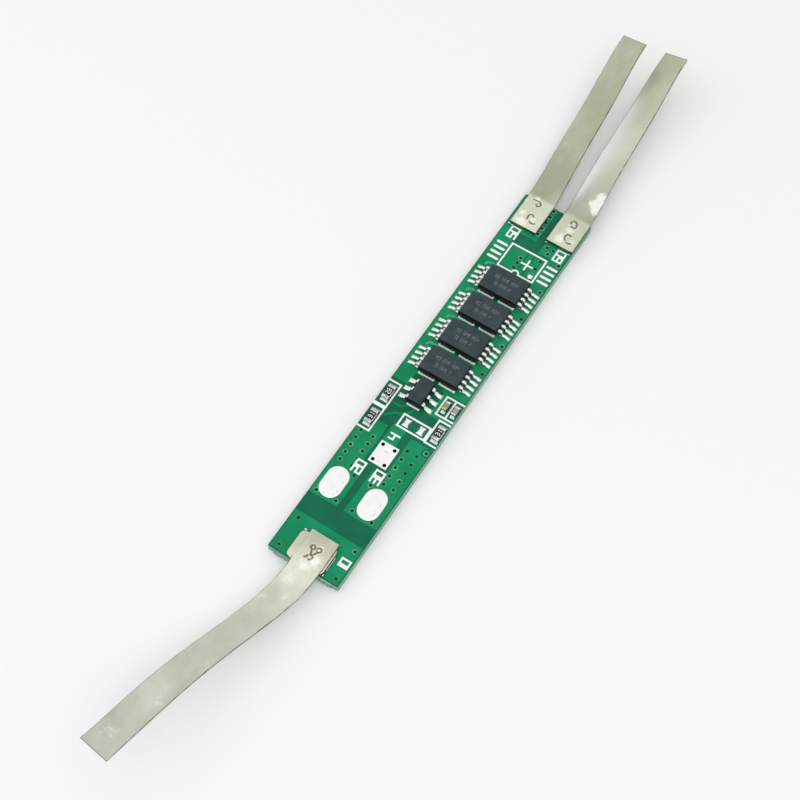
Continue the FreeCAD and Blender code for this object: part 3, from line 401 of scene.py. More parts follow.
def skin(bm, rings, closed=False):
    """Join loops of points, all with the same count, into one closed solid."""
    rows = [[bm.verts.new(point) for point in ring] for ring in rings]
    pairs = list(zip(rows, rows[1:])) + ([(rows[-1], rows[0])] if closed else [])
    for low, high in pairs:
        for i in range(len(low)):
            k = (i + 1) % len(low)
            bm.faces.new((low[i], low[k], high[k], high[i]))
    if not closed:
        bm.faces.new(rows[0][::-1])
        bm.faces.new(rows[-1])
    return rows


def slab(bm, x, y, size, radius, levels, steps=4):
    """A rounded plate. Levels are (height, inset) pairs from the bottom up."""
    return skin(bm, [[(px, py, z) for px, py in rounded(x, y, size[0] / 2 - inset, size[1] / 2 - inset,
                                                        max(radius - inset, 0.01), steps)]
                     for z, inset in levels])


def puddle(bm, x, y, size, radius, base, height, cells, warp=None):
    """A low pool with a flat bottom and a rounded outline. height(px, py, inset) is its depth there."""
    half = Vector((size[0] / 2, size[1] / 2))
    rows = []
    for i in range(cells[0] + 1):
        row = []
        for j in range(cells[1] + 1):
            p = Vector((half.x * math.sin(math.pi / 2 * (2 * i / cells[0] - 1)),
                        half.y * math.sin(math.pi / 2 * (2 * j / cells[1] - 1))))
            q = Vector((max(abs(p.x) - half.x + radius, 0), max(abs(p.y) - half.y + radius, 0)))
            if q.x > 0 and q.y > 0:
                q *= max(q) / q.length
                p = Vector((math.copysign(half.x - radius + q.x, p.x),
                            math.copysign(half.y - radius + q.y, p.y)))
                inset = radius - q.length
            else:
                inset = min(half.x - abs(p.x), half.y - abs(p.y))
            if warp:
                p = warp(p)
            px, py = x + p.x, y + p.y
            row.append(bm.verts.new((px, py, base + height(px, py, max(inset, 0)))))
        rows.append(row)
    for low, high in zip(rows, rows[1:]):
        for a, b, c, d in zip(low, low[1:], high[1:], high):
            bm.faces.new((a, b, c, d))
    rim = [row[0] for row in rows] + rows[-1][1:] + [row[-1] for row in rows[-2::-1]] + rows[0][-2:0:-1]
    bm.faces.new(rim)


def dome(rise, reach):
    """The height of a pool that leaves its edge steeply and is flat from reach inwards."""
    def height(x, y, inset):
        share = min(inset / reach, 1)
        uneven = 1 + 0.25 * noise.noise(Vector((x * 1.7, y * 1.7, rise)))
        return rise * math.sqrt(1 - (1 - share) ** 2) * uneven
    return height


def smooth_path(points, radius, steps=5):
    """A path of (u, v) points with its corners rounded."""
    path = [Vector(points[0])]
    for before, corner, after in zip(points, points[1:], points[2:]):
        corner = Vector(corner)
        back, ahead = Vector(before) - corner, Vector(after) - corner
        reach = min(radius, back.length / 2, ahead.length / 2)
        start, end = corner + back.normalized() * reach, corner + ahead.normalized() * reach
        for i in range(steps + 1):
            t = i / steps
            path.append(start.lerp(corner, t).lerp(corner.lerp(end, t), t))
    return path + [Vector(points[-1])]


def dense(path, step=0.04):
    """The same path with points no further apart than step."""
    points = [path[0]]
    for start, end in zip(path, path[1:]):
        count = math.ceil((end - start).length / step) or 1
        points += [start.lerp(end, k / count) for k in range(1, count + 1)]
    return points


def gull_lead(bm, x, y, side, path, width, thickness, edge=0.02, tip=0.15, waist=0.36):
    """A flat lead bent along a path of (distance from the package's middle, height). It is narrower
    where it drops, and rounded at its tip."""
    top, low, end = path[0].y, path[-1].y, path[-1].x
    rings = []
    for i, point in enumerate(path):
        heading = (path[min(i + 1, len(path) - 1)] - path[max(i - 1, 0)]).normalized()
        up = Vector((-heading.y, heading.x))
        share = min((end - point.x) / tip, 1)
        half = width / 2 * (1.08 - waist * math.sin(math.pi * (point.y - low) / (top - low)))
        half *= 0.3 + 0.7 * math.sqrt(1 - (1 - share) ** 2)
        ring = []
        for across, lift in rounded(0, 0, half, thickness / 2, edge, 1):
            at = point + up * lift
            ring.append((x + side * at.x, y + across, at.y))
        rings.append(ring)
    skin(bm, rings)


def tube(bm, points, radius, sides=6, squash=1.0):
    """A thin bead along a path of points, tapered at both ends."""
    points = [Vector(point) for point in points]
    rings = []
    for i, point in enumerate(points):
        heading = (points[min(i + 1, len(points) - 1)] - points[max(i - 1, 0)]).normalized()
        across = heading.cross(Vector((0, 0, 1))).normalized()
        share = 0.45 if i in (0, len(points) - 1) else 1
        rings.append([point + (across * math.cos(a) + Vector((0, 0, squash)) * math.sin(a)) * radius * share
                      for a in (2 * math.pi * k / sides for k in range(sides))])
    skin(bm, rings)


# Heights that the CAD sets, in millimetres.

BOARD_TOP = box("upper_lacquer")[1].z
PAD_TOP = box("chip_pads")[1].z
FOOT_BASE = box("resistor_1_ends")[0].z
TAB_TOP = box("near_tab")[1].z
NEAR_EDGE, FAR_EDGE = box("upper_lacquer")[0].y, box("upper_lacquer")[1].y
POOL_SINK = 0.01  # how far a pool of solder reaches into what carries it

for part in frame["record"]["subparts"]:
    mesh = CAD[part["node"]].data
    mesh.materials.clear()
    mesh.materials.append(FINISHES[part["material_slot"]])
for node, finish in (("plus_strip", PLUS_STRIP), ("minus_strip", MINUS_STRIP), ("near_strip", NEAR_STRIP)):
    CAD[node].data.materials[0] = finish
CAD["via_barrels"].data.materials[0] = HOLE
CAD["capacitor_2_body"].data.materials[0] = ROSE_CERAMIC


# Packages: moulded body, bent leads and the solder round each foot.

# Each lead is (width, thickness), and each pad (distance from the middle, length, width).
SWITCH = {"half": 2.2, "length": 2.9, "height": 0.95, "pins": 4, "pitch": 0.65, "span": 6.4, "foot": 0.52,
          "shoulder": 0.36, "lead": (0.3, 0.14), "pad": (2.9, 1.3, 0.32)}
CONTROLLER = {"half": 0.8, "length": 2.8, "height": 1.0, "pins": 3, "pitch": 0.95, "span": 2.8, "foot": 0.36,
              "shoulder": 0.2, "lead": (0.4, 0.15), "pad": (1.45, 0.8, 0.45)}
ROOT, STANDOFF, DRAFT = 0.3, 0.08, math.tan(math.radians(7))
MOULD_CORNER, MOULD_BEVEL, FLASH = 0.08, 0.05, 0.012
LEAD_BEND, FILLET_RISE, FILLET_REACH, CLING = 0.16, 0.1, 0.16, 0.12


def mould(name, kind, centre):
    """The moulded body: drafted both ways from a fine line of flash at its middle."""
    base = FOOT_BASE + STANDOFF
    split, top, bevel = base + kind["height"] / 2, base + kind["height"], MOULD_BEVEL
    slope = kind["height"] / 2 * DRAFT
    bm = bmesh.new()
    slab(bm, centre.x, centre.y, (kind["half"] * 2, kind["length"]), MOULD_CORNER,
         [(base, slope + 0.03), (base + 0.03, slope), (split - 0.02, 0.004), (split, -FLASH),
          (split + 0.02, 0.004), (top - bevel, slope - bevel * DRAFT),
          (top - bevel * 0.3, slope + bevel * 0.3), (top, slope + bevel)], 3)
    hand_over(f"{name}_moulding", bm, FINISHES["mould"], "mould", f"{name}_mould", angle=30)


def climb(x, y, inset, foot, rise):
    """Extra height of solder that clings to the sides of a foot, a box of (x, y) spans."""
    gap = math.hypot(*(max(span[0] - p, 0, p - span[1]) for p, span in zip((x, y), foot)))
    return rise * math.exp(-gap / CLING) if inset > 0.001 else 0


def leads_and_solder(name, kind, centre):
    width, thickness = kind["lead"]
    split = FOOT_BASE + STANDOFF + kind["height"] / 2
    foot = FOOT_BASE + thickness / 2
    tip = kind["span"] / 2
    path = dense(smooth_path([(kind["half"] - ROOT, split), (kind["half"] + kind["shoulder"], split),
                              (tip - kind["foot"], foot), (tip, foot)], LEAD_BEND))
    row, length, pad_width = kind["pad"]
    pool = dome(FILLET_RISE, FILLET_REACH)
    leads, solder = bmesh.new(), bmesh.new()
    for side in (-1, 1):
        for i in range(kind["pins"]):
            y = centre.y + (i - (kind["pins"] - 1) / 2) * kind["pitch"]
            gull_lead(leads, centre.x, y, side, path, width, thickness)
            span = (sorted((centre.x + side * (tip - kind["foot"]), centre.x + side * tip)),
                    (y - width / 2, y + width / 2))

            def height(px, py, inset, span=span):
                clinging = climb(px, py, inset, span, thickness * 0.7) * min(inset / 0.06, 1)
                return pool(px, py, inset) + clinging
            size = (length * (0.97 + 0.05 * noise.noise(Vector((y * 3, side, 1)))), pad_width + 0.08)
            puddle(solder, centre.x + side * row, y, size, size[1] / 2 - 0.01, PAD_TOP - POOL_SINK,
                   height, (20, 10))
    hand_over(f"{name}_bent_leads", leads, FINISHES["lead"], "lead", f"{name}_leads")
    hand_over(f"{name}_fillets", solder, FINISHES["solder"], "solder", f"{name}_solder", angle=60)


def faint_marks(name, centre, top):
    """Two rows of short strokes that spell nothing, where such a package carries its print."""
    pitch, stroke, corner = 0.2, 0.08, 0.03
    bm = bmesh.new()
    for row, (shift, count, start) in enumerate(((0.4, 13, -1.15), (-0.4, 9, -0.8))):
        for i in range(count):
            if (i + row) % 5 == 3:
                continue
            x, y = centre.x + start + i * pitch, centre.y + shift
            half = 0.26 if (i + row) % 3 else 0.17
            slab(bm, x, y, (stroke, half * 2), corner, [(top - 0.01, 0), (top + 0.004, 0.005)], 2)
            if (i * 7 + row) % 3 == 0:
                slab(bm, x + stroke, y + half - 0.05, (stroke * 2, stroke), corner,
                     [(top - 0.01, 0), (top + 0.0045, 0.005)], 2)
    hand_over(f"{name}_marks", bm, MARK, "mould")


for name in ("switch_1", "switch_2", "switch_3", "switch_4", "controller"):
    kind = CONTROLLER if name == "controller" else SWITCH
    at = middle(f"{name}_mould")
    mould(name, kind, at)
    leads_and_solder(name, kind, at)
    if kind is SWITCH:
        faint_marks(name, at, FOOT_BASE + STANDOFF + kind["height"])


# Pads: domed tin on the two output pads, pools on the empty sites, and a few dark scuffs.

SCUFFS = {
    "output_plus_pad": [[(-1.52, -14.18), (-1.56, -14.4)], [(-1.62, -15.7), (-1.66, -15.86)],
                        [(-1.5, -15.2), (-1.47, -15.35)]],
    "output_minus_pad": [[(2.7, -14.2), (2.72, -14.42)], [(2.76, -15.3), (2.66, -15.56)]],
    "third_pad": [[(-0.1, -9.35), (0.18, -9.4), (0.3, -9.33)], [(-0.05, -10.62), (0.12, -10.6)],
                  [(0.28, -10.45), (0.4, -10.5)]],
}
SCUFF_REACH, SCRATCH_RADIUS = 0.045, 0.025


def off_line(x, y, lines):
    """The distance from a point to the nearest of some broken lines."""
    best = 9.0
    for line in lines:
        for (ax, ay), (bx, by) in zip(line, line[1:]):
            dx, dy = bx - ax, by - ay
            share = min(max(((x - ax) * dx + (y - ay) * dy) / (dx * dx + dy * dy), 0), 1)
            best = min(best, math.hypot(x - ax - share * dx, y - ay - share * dy))
    return best


def scratches():
    """The scuffs of the flat third pad, as hair-thin marks on top of it."""
    bm = bmesh.new()
    for line in SCUFFS["third_pad"]:
        tube(bm, [(x, y, PAD_TOP) for x, y in line], SCRATCH_RADIUS, squash=0.2)
    hand_over("third_pad_scuffs", bm, MARK, "tin")


def output_pads():
    """Domed tin, with the scuffs as darker lines in it."""
    for node in ("output_plus_pad", "output_minus_pad"):
        low, high = box(node)
        size, bm = high - low, bmesh.new()
        scuff = bm.verts.layers.float.new("marks_and_painted_light")
        puddle(bm, *halfway(low, high), size, size.x / 2, low.z, dome(0.075, 0.45), (70, 100))
        for vert in bm.verts:
            vert[scuff] = max(1 - off_line(vert.co.x, vert.co.y, SCUFFS[node]) / SCUFF_REACH, 0)
        hand_over(f"{node}_dome", bm, FINISHES["tin"], "tin", node, angle=60)


def empty_site_pools():
    bm = bmesh.new()
    for low, high in islands("empty_site_pads"):
        size = high - low
        puddle(bm, *halfway(low, high), size, size.y / 2 - 0.01, low.z,
               dome(PAD_TOP - low.z + 0.03, 0.09), (28, 12))
    hand_over("empty_site_pools", bm, FINISHES["tin"], "tin", "empty_site_pads", angle=60)


def link_pools():
    """The two pads of the empty link site, wetted only in an hourglass."""
    pools, films = bmesh.new(), bmesh.new()
    for low, high in islands("link_pads"):
        size, (x, y) = high - low, halfway(low, high)

        def pinch(p, half=size.y / 2):
            return Vector((p.x * (0.62 + 0.36 * (p.y / half) ** 2), p.y * 0.96))
        slab(films, x, y, size, 0.02, [(low.z, 0), (low.z + 0.012, 0.002)])
        puddle(pools, x, y, size, 0.08, low.z + POOL_SINK, dome(0.07, 0.2), (18, 18), pinch)
    hand_over("link_pools", pools, FINISHES["solder"], "solder", "link_pads", angle=60)
    hand_over("link_films", films, FILM, "lacquer")


output_pads()
empty_site_pools()
scratches()
link_pools()


# Plated holes: a raised lacquered ring round each, and a dished plug inside that is painted near black as
# the shade in the hole.

# The ring's section: distance past the barrel, height, paleness, and whether it wobbles.
RING = ((-0.065, -0.006, 0, 0), (-0.04, 0.005, 0, 0), (-0.005, 0.008, 0.1, 0), (0.02, 0.013, 1, 1),
        (0.06, 0.012, 0.9, 1), (0.085, 0.005, 0.1, 1), (0.11, 0, 0, 1), (0.02, -0.016, 0, 0))
RING_SIDES, BARREL_WALL, TINNED_DEPTH = 24, 0.03, 0.3
# Paths from the middle of a switch's far edge, each with its half width, and their height.
COPPER_PATHS = (([(-3.0, 0.08), (-2.8, 0.52), (-2.1, 0.56), (-1.8, 0.3)], 0.13),
                ([(-1.9, 0.3), (1.9, 0.3), (2.2, 0.12)], 0.05))
COPPER_RISE = 0.012


def hole_rim(bm, pale, x, y, outer):
    wobble = 0.03 * noise.noise(Vector((x, y, 3)))
    strength = min(max(0.6 + 1.5 * noise.noise(Vector((x * 1.3, y * 1.3, 7))), 0.25), 1)
    ring = [(outer + past + wobble * wobbles, height) for past, height, _, wobbles in RING]
    angles = [2 * math.pi * k / RING_SIDES for k in range(RING_SIDES)]
    rows = skin(bm, [[(x + r * math.cos(a), y + r * math.sin(a), BOARD_TOP - 0.004 + z) for r, z in ring]
                     for a in angles], closed=True)
    for angle, row in zip(angles, rows):
        turn = 0.75 + 0.25 * math.cos(angle + 3 * x + y)
        for vert, (_, _, tone, _) in zip(row, RING):
            vert[pale] = tone * strength * turn


def hole_plug(bm, glint, x, y, bore, top):
    rows = slab(bm, x, y, (bore * 2, bore * 2), bore - 0.001,
                [(top - 0.12, 0), (top, 0), (top - 0.03, bore * 0.3), (top - 0.015, bore * 0.7)], 4)
    # Painted highlight: the glint on the plug's middle.
    for vert in rows[-1]:
        vert[glint] = 0.55 + 0.45 * noise.noise(Vector((x * 2, y * 2, 5)))


def hole_dressing():
    rims, plugs = bmesh.new(), bmesh.new()
    pale, glint = (bm.verts.layers.float.new("marks_and_painted_light") for bm in (rims, plugs))
    third_low, third_high = box("third_pad")
    for low, high in islands("via_barrels"):
        (x, y), outer = halfway(low, high), (high.x - low.x) / 2
        if third_low.x < x < third_high.x and third_low.y < y < third_high.y:
            depth = TINNED_DEPTH
        else:
            hole_rim(rims, pale, x, y, outer)
            depth = 0.1 + 0.12 * (0.5 + noise.noise(Vector((x * 3, y * 3, 0))))
        hole_plug(plugs, glint, x, y, outer - BARREL_WALL, BOARD_TOP - depth)
    hand_over("hole_rims", rims, RIM, "lacquer", angle=60)
    hand_over("hole_plugs", plugs, PLUG, "lacquer", angle=60)


def copper_edges():
    """Low ridges where the copper under the lacquer ends, round and along the far side of each
    switch, painted pale as a highlight."""
    bm = bmesh.new()
    for i in (1, 2, 3, 4):
        far = box(f"switch_{i}_mould")[1].y
        for points, radius in COPPER_PATHS:
            path = smooth_path([(x, far + y) for x, y in points], 0.3)
            tube(bm, [(p.x, p.y, BOARD_TOP) for p in path], radius, squash=COPPER_RISE / radius)
    hand_over("copper_edges", bm, COPPER_EDGE_HIGHLIGHT, "lacquer", angle=60)


hole_dressing()
copper_edges()


# Nickel strips: read from the CAD strip one section at a time, then given soft edges, a faint
# waviness and the marks of the spot welds.

# The welds are broken lines of (x, y), and each painted glare spot is (x, y, radius, level).
WELDS = {
    "plus_strip": [[(-2.67, 22.69), (-2.16, 22.75), (-1.86, 22.66), (-1.73, 22.46), (-1.76, 22.24),
                    (-1.92, 22.12), (-2.06, 22.14), (-2.16, 22.28)],
                   [(-2.09, 20.25), (-2.12, 20.55), (-2.08, 20.82), (-1.93, 20.97), (-1.75, 20.96),
                    (-1.6, 20.82)],
                   [(-1.72, 20.13), (-1.5, 20), (-1.27, 20.02), (-1.1, 20.14)],
                   [(-2.1, 20.27), (-2.06, 20.4)]],
    "minus_strip": [[(2.0, 22.14), (1.97, 22.4), (2.12, 22.6), (2.36, 22.62), (2.55, 22.48), (2.65, 22.2),
                     (2.67, 21.95), (2.45, 21.84), (2.22, 21.86)], [(2.5, 21.88), (2.66, 21.92)],
                    [(2.77, 20.83), (2.56, 20.92), (2.36, 20.85), (2.27, 20.6), (2.33, 20.3), (2.49, 20.1)],
                    [(2.73, 19.95), (2.99, 19.93), (3.17, 20.01)]],
    "near_strip": [[(-0.31, -21.22), (-0.22, -21.04), (0, -21.02), (0.12, -21.17), (0.08, -21.38),
                    (-0.1, -21.44), (-0.27, -21.35), (-0.31, -21.22)],
                   [(-0.06, -21.49), (0.02, -21.71), (0.09, -21.9), (0.3, -21.91), (0.42, -21.69),
                    (0.5, -21.49)],
                   [(0.29, -21.19), (0.49, -21), (0.72, -21.02), (0.76, -21.26), (0.6, -21.43),
                    (0.43, -21.39)],
                   [(-0.08, -22.1), (-0.16, -22.25), (-0.22, -22.42)], [(-0.1, -22.3), (-0.28, -22.4)],
                   [(0.46, -22.05), (0.38, -22.33), (0.21, -22.46)], [(0.1, -21.95), (0.42, -22.05)]],
}
GLARE_SPOTS = {
    "plus_strip": [(-2.5, 19.7, 0.6, 1.3), (-1.5, 20.4, 0.35, 1), (-2.4, 22.9, 0.35, 1.1),
                   (-2.9, 20.7, 0.5, 0.8), (-3.3, 22.2, 0.15, 0.8)],
    "minus_strip": [(1.9, 20, 0.6, 1.1), (2.3, 21.3, 0.5, 1), (3.2, 20.3, 0.3, 0.8), (3.2, 25.5, 0.62, 3),
                    (3.4, 24.7, 0.42, 2.4), (3.1, 26.6, 0.42, 2.2), (2.5, 25.5, 0.3, 1.4)],
    "near_strip": [(0.8, -22.3, 0.7, 1.1), (0.2, -23.2, 0.9, 0.9), (0.6, -21.2, 0.14, 1),
                   (1.2, -21.8, 0.4, 0.6), (-0.2, -25, 0.8, 0.7), (0.6, -26.5, 0.7, 0.6),
                   (-1.1, -27.6, 0.5, 0.5), (-2.2, -41, 1, 0.45), (-0.8, -36, 0.8, 0.4),
                   (-3.6, -45.5, 0.9, 0.5)],
}
STRIP_WIDTH, STRIP_COLUMNS = 3, 60
WELDED_SECTIONS, FREE_SECTIONS, TIP_SHARES = 70, 80, (0.9955, 0.9996)
GROOVE, LIP = (0.04, 0.075), (0.015, 0.06)  # height and width
LIP_GAP, WAVE, EDGE_DROP = 0.17, 0.012, 0.03
REFLECTION_START, REFLECTION_LENGTH = 24, 17.5


def bell(distance, width):
    """One at no distance, falling away smoothly."""
    return math.exp(-(distance / width) ** 2)


def section(bm, point, normal):
    """Where a plane cuts a strip: top left, top right, low right and low left corner."""
    copy = bm.copy()
    made = bmesh.ops.bisect_plane(copy, geom=copy.verts[:] + copy.edges[:] + copy.faces[:],
                                  plane_co=point, plane_no=normal)["geom_cut"]
    dots = [item.co.copy() for item in made if isinstance(item, bmesh.types.BMVert)]
    copy.free()
    across = (max(dots, key=lambda dot: dot.x) - min(dots, key=lambda dot: dot.x)).normalized()
    up = across.cross(normal)
    up *= math.copysign(1, up.z)
    return [max(dots, key=lambda dot: dot.dot(up * high + across * side))
            for side, high in ((-1, 1), (1, 1), (1, -1), (-1, -1))]


def sections(bm, node):
    """The corners all along a strip, close together where it is welded."""
    low, high = box(node)
    way, start, edge = (1, low.y, FAR_EDGE) if low.y > 0 else (-1, high.y, NEAR_EDGE)
    ends = [face for face in bm.faces if abs(face.normal.y) > 0.9 and abs(face.normal.z) < 0.2]
    last = max(ends, key=lambda face: face.calc_center_median().y * way)
    tip = last.calc_center_median()
    for face in ends:
        if abs((face.calc_center_median() - tip).dot(last.normal)) < 0.01:
            tip = (tip + face.calc_center_median()) / 2
    across = Vector((0, 1, 0))
    heading = last.normal * math.copysign(1, last.normal.y)
    middle_x = sum(corner.x for corner in section(bm, Vector((0, edge - way * 0.5, 0)), across)[:2]) / 2
    for i in range(WELDED_SECTIONS + 1):
        y = start + (edge - start) * (0.0005 + 0.998 * i / WELDED_SECTIONS)
        yield section(bm, Vector((0, y, 0)), across)
    base, end = Vector((middle_x, edge, 0)), Vector((tip.x, tip.y, 0))
    for share in [i / FREE_SECTIONS for i in range(1, FREE_SECTIONS)] + list(TIP_SHARES):
        yield section(bm, base.lerp(end, share), across.lerp(heading, share).normalized())


def sunk(p, edge, gap):
    """How far the strip's skin lies below the CAD's, for a distance from its edge and from a weld."""
    groove = GROOVE[0] * bell(gap, GROOVE[1]) - LIP[0] * bell(gap - LIP_GAP, LIP[1])
    wave = WAVE * (1 + noise.noise(p * 0.9)) * min(edge / 0.4, 1)
    return wave + EDGE_DROP * (1 - min(edge / 0.06, 1)) ** 2 + groove


def marks(node, p, share, edge, gap):
    """Three amounts from nought to one at a point of a strip: burn marks with painted shade along its edges,
    painted glare, and painted reflection.
    """
    painted_glare = max([level * math.exp(-((p.x - x) / size) ** 2 - ((p.y - y) / size) ** 2)
                 for x, y, size, level in GLARE_SPOTS[node]])
    # Painted highlight: a ring of glare round each weld.
    painted_glare = max(painted_glare, 0.55 * bell(gap - 0.2, 0.09))
    # Painted reflection: a pale band along the left part of the minus strip.
    reach = min(max((p.y - REFLECTION_START) / REFLECTION_LENGTH, 0), 1) if node == "minus_strip" else 0
    reflection_band = bell(share * STRIP_WIDTH, 0.25 + 0.95 * math.sin(math.pi * reach))
    reflection_band *= min(8 * reach, 1) * min(5 * (1 - reach), 1)
    # Painted shade: a dark line along both edges of the strip.
    rim = 0.75 * max(1 - edge / 0.1, 0) * (0.7 + noise.noise(p * 2))
    if node == "near_strip" and share < 0.5 and p.y > box("near_tab")[0].y:
        rim = 0
    return max(0.9 * bell(gap, 0.085), rim), min(max(painted_glare, 0), 1), 0.9 * reflection_band


def strip(node, finish):
    source = bmesh.new()
    source.from_mesh(CAD[node].data)
    source.transform(Matrix.Scale(1 / MM, 4))
    bmesh.ops.remove_doubles(source, verts=source.verts, dist=1e-4)
    source.normal_update()
    bm = bmesh.new()
    layers = [bm.verts.layers.float.new(name) for name in ("marks_and_painted_light", "painted_glare", "sheen")]
    rings, tones = [], []
    for top_left, top_right, low_right, low_left in sections(source, node):
        up = (top_left - low_left).normalized()
        ring, tone = [low_left], [(0, 0, 0)]
        for i in range(STRIP_COLUMNS + 1):
            share = i / STRIP_COLUMNS
            p = top_left.lerp(top_right, share)
            edge = min(share, 1 - share) * STRIP_WIDTH
            gap = off_line(p.x, p.y, WELDS[node]) + 0.03 * noise.noise(p * 5)
            ring.append(p - up * sunk(p, edge, gap))
            tone.append(marks(node, p, share, edge, gap))
        rings.append(ring + [low_right])
        tones.append(tone + [(0, 0, 0)])
    # Painted shade on the end face at the strip's tip.
    tones[-1] = [(0.7, 0, 0)] * len(tones[-1])
    rows = skin(bm, rings)
    for row, tone in zip(rows, tones):
        for vert, values in zip(row, tone):
            for layer, value in zip(layers, values):
                vert[layer] = value
    source.free()
    hand_over(f"{node}_bent", bm, finish, "nickel", node, angle=45)
    return rings[0][1]


def tab(node, finish, radius):
    low, high = box(node)
    bm = bmesh.new()
    slab(bm, *halfway(low, high), high - low, radius,
         [(low.z, 0.03), (low.z + 0.03, 0), (high.z - 0.06, 0), (high.z - 0.02, 0.02), (high.z, 0.06)], 6)
    hand_over(f"{node}_plate", bm, finish, "nickel", node, angle=25)


strip_corners = {}
for name, finish, radius in (("plus", PLUS_STRIP, 0.25), ("minus", MINUS_STRIP, 0.25),
                             ("near", NEAR_STRIP, 0.5)):
    strip_corners[name] = strip(f"{name}_strip", finish)
    tab(f"{name}_tab", finish, radius)


# Solder squeezed out at the corners of the tabs, and metal that flowed over the near one.

# Each bead is (x, y, length, width, height).
CORNER_BEADS = ((-3.42, 19.05, 0.34, 0.2, 0.25), (-3.05, 19.08, 0.5, 0.12, 0.1),
                (0.92, 19.1, 0.3, 0.18, 0.22), (3.6, 19.05, 0.3, 0.14, 0.12),
                (-1.72, -20.05, 0.42, 0.26, 0.24), (-1.62, -22.98, 0.3, 0.16, 0.3),
                (2.1, -22.9, 0.2, 0.3, 0.25), (2.1, -21.6, 0.12, 1.6, 0.12))
WASH_ROWS, WASH_COLUMNS, WASH_LAP = 24, 8, 0.03


def corner_beads():
    bm = bmesh.new()
    for x, y, long, wide, rise in CORNER_BEADS:
        radius = min(long, wide) / 2
        puddle(bm, x, y, (long, wide), radius, BOARD_TOP - POOL_SINK, dome(rise, radius), (12, 12))
    hand_over("tab_corner_beads", bm, FINISHES["solder"], "solder", angle=60)


def near_wash(corner):
    """Metal that flowed between the near tab and the left side of its strip, and hides the step."""
    low, high = box("near_tab")
    rise, right, base = corner.z - TAB_TOP - 0.015, corner.x + WASH_LAP, TAB_TOP - 0.01
    rings = []
    for i in range(WASH_ROWS + 1):
        y = low.y + 0.12 + (high.y - low.y - 0.3) * i / WASH_ROWS
        left = low.x + 0.16 + 0.06 * noise.noise(Vector((0, y * 1.5, 4)))
        ring = [(right, y, TAB_TOP + rise), (right, y, base), (left, y, base)]
        ring += [(left + (corner.x - left) * k / WASH_COLUMNS, y,
                  TAB_TOP + rise * (k / WASH_COLUMNS) ** 1.4 + 0.004) for k in range(WASH_COLUMNS + 1)]
        rings.append(ring)
    bm = bmesh.new()
    skin(bm, rings)
    hand_over("near_tab_wash", bm, NEAR_STRIP, "nickel", angle=60)


corner_beads()
near_wash(strip_corners["near"])


# Small parts: rounded metal ends, ceramic a little thinner, and solder that climbs the end faces.

RESISTOR_CAP, CAPACITOR_CAP, SOLDER_CLIMB, CERAMIC_INSET = 0.36, 0.25, 0.24, 0.05
NUMBER_SIZE, NUMBER_STROKE = (0.4, 0.17), 0.08
# The strokes of a squared figure: top, upper right, lower right, foot, lower left, upper left, middle.
STROKES = {"1": "0110000", "2": "1101101", "3": "1111001"}


def lying_block(bm, x, z, size, ends, radius, bevel):
    """A block along Y with a rounded section, and softened ends. Size is its width and height."""
    levels = [(ends[0], bevel), (ends[0] + bevel, 0), (ends[1] - bevel, 0), (ends[1], bevel)]
    skin(bm, [[(px, y, pz) for px, pz in rounded(x, z, size[0] / 2 - inset, size[1] / 2 - inset,
                                                 max(radius - inset, 0.01), 3)] for y, inset in levels])


def small_part(name, finish, slot, cap, solder):
    low, high = box(f"{name}_ends")
    x, z, size = (low.x + high.x) / 2, (low.z + high.z) / 2, high - low
    ends = bmesh.new()
    for span in ((low.y, low.y + cap), (high.y - cap, high.y)):
        lying_block(ends, x, z, (size.x, size.z), span, 0.05, 0.03)
    hand_over(f"{name}_caps", ends, FINISHES["end_metal"], "end_metal", f"{name}_ends", angle=50)
    body = bmesh.new()
    lying_block(body, x, z, (size.x - CERAMIC_INSET, size.z - CERAMIC_INSET),
                (low.y + cap * 0.5, high.y - cap * 0.5), 0.04, 0.02)
    hand_over(f"{name}_ceramic", body, finish, slot, f"{name}_body", angle=50)
    pool = dome(0.04, 0.08)
    for pad_low, pad_high in islands("small_part_pads"):
        (px, py), pad = halfway(pad_low, pad_high), pad_high - pad_low
        if abs(px - x) > 0.1 or not low.y - 0.4 < py < high.y + 0.4:
            continue
        way = 1 if py > (low.y + high.y) / 2 else -1
        face = high.y if way > 0 else low.y

        def height(qx, qy, inset, way=way, face=face):
            away = max((qy - face) * way, 0)
            return pool(qx, qy, inset) + SOLDER_CLIMB * math.exp(-away / 0.09) * min(inset / 0.05, 1)
        puddle(solder, px, py, (pad.x + 0.02, pad.y + 0.02), 0.1, PAD_TOP - POOL_SINK, height, (14, 16))


def stroke_figure(bm, text, x, y, top):
    """Plain squared figures that read along the board, with their tops towards its left edge."""
    (tall, wide), width = NUMBER_SIZE, NUMBER_STROKE
    for i, digit in enumerate(text):
        near = y + (i - (len(text) - 1) / 2) * (wide + width * 1.5) - wide / 2
        far = near + wide
        left, mid, right = x - tall / 2, x, x + tall / 2
        spans = [((left, left), (near, far)), ((left, mid), (far, far)), ((mid, right), (far, far)),
                 ((right, right), (near, far)), ((mid, right), (near, near)), ((left, mid), (near, near)),
                 ((mid, mid), (near, far))]
        for ink, (sx, sy) in zip(STROKES[digit], spans):
            if ink == "1":
                slab(bm, sum(sx) / 2, sum(sy) / 2, (sx[1] - sx[0] + width, sy[1] - sy[0] + width),
                     width * 0.3, [(top - 0.005, 0), (top + 0.006, 0.004)], 2)


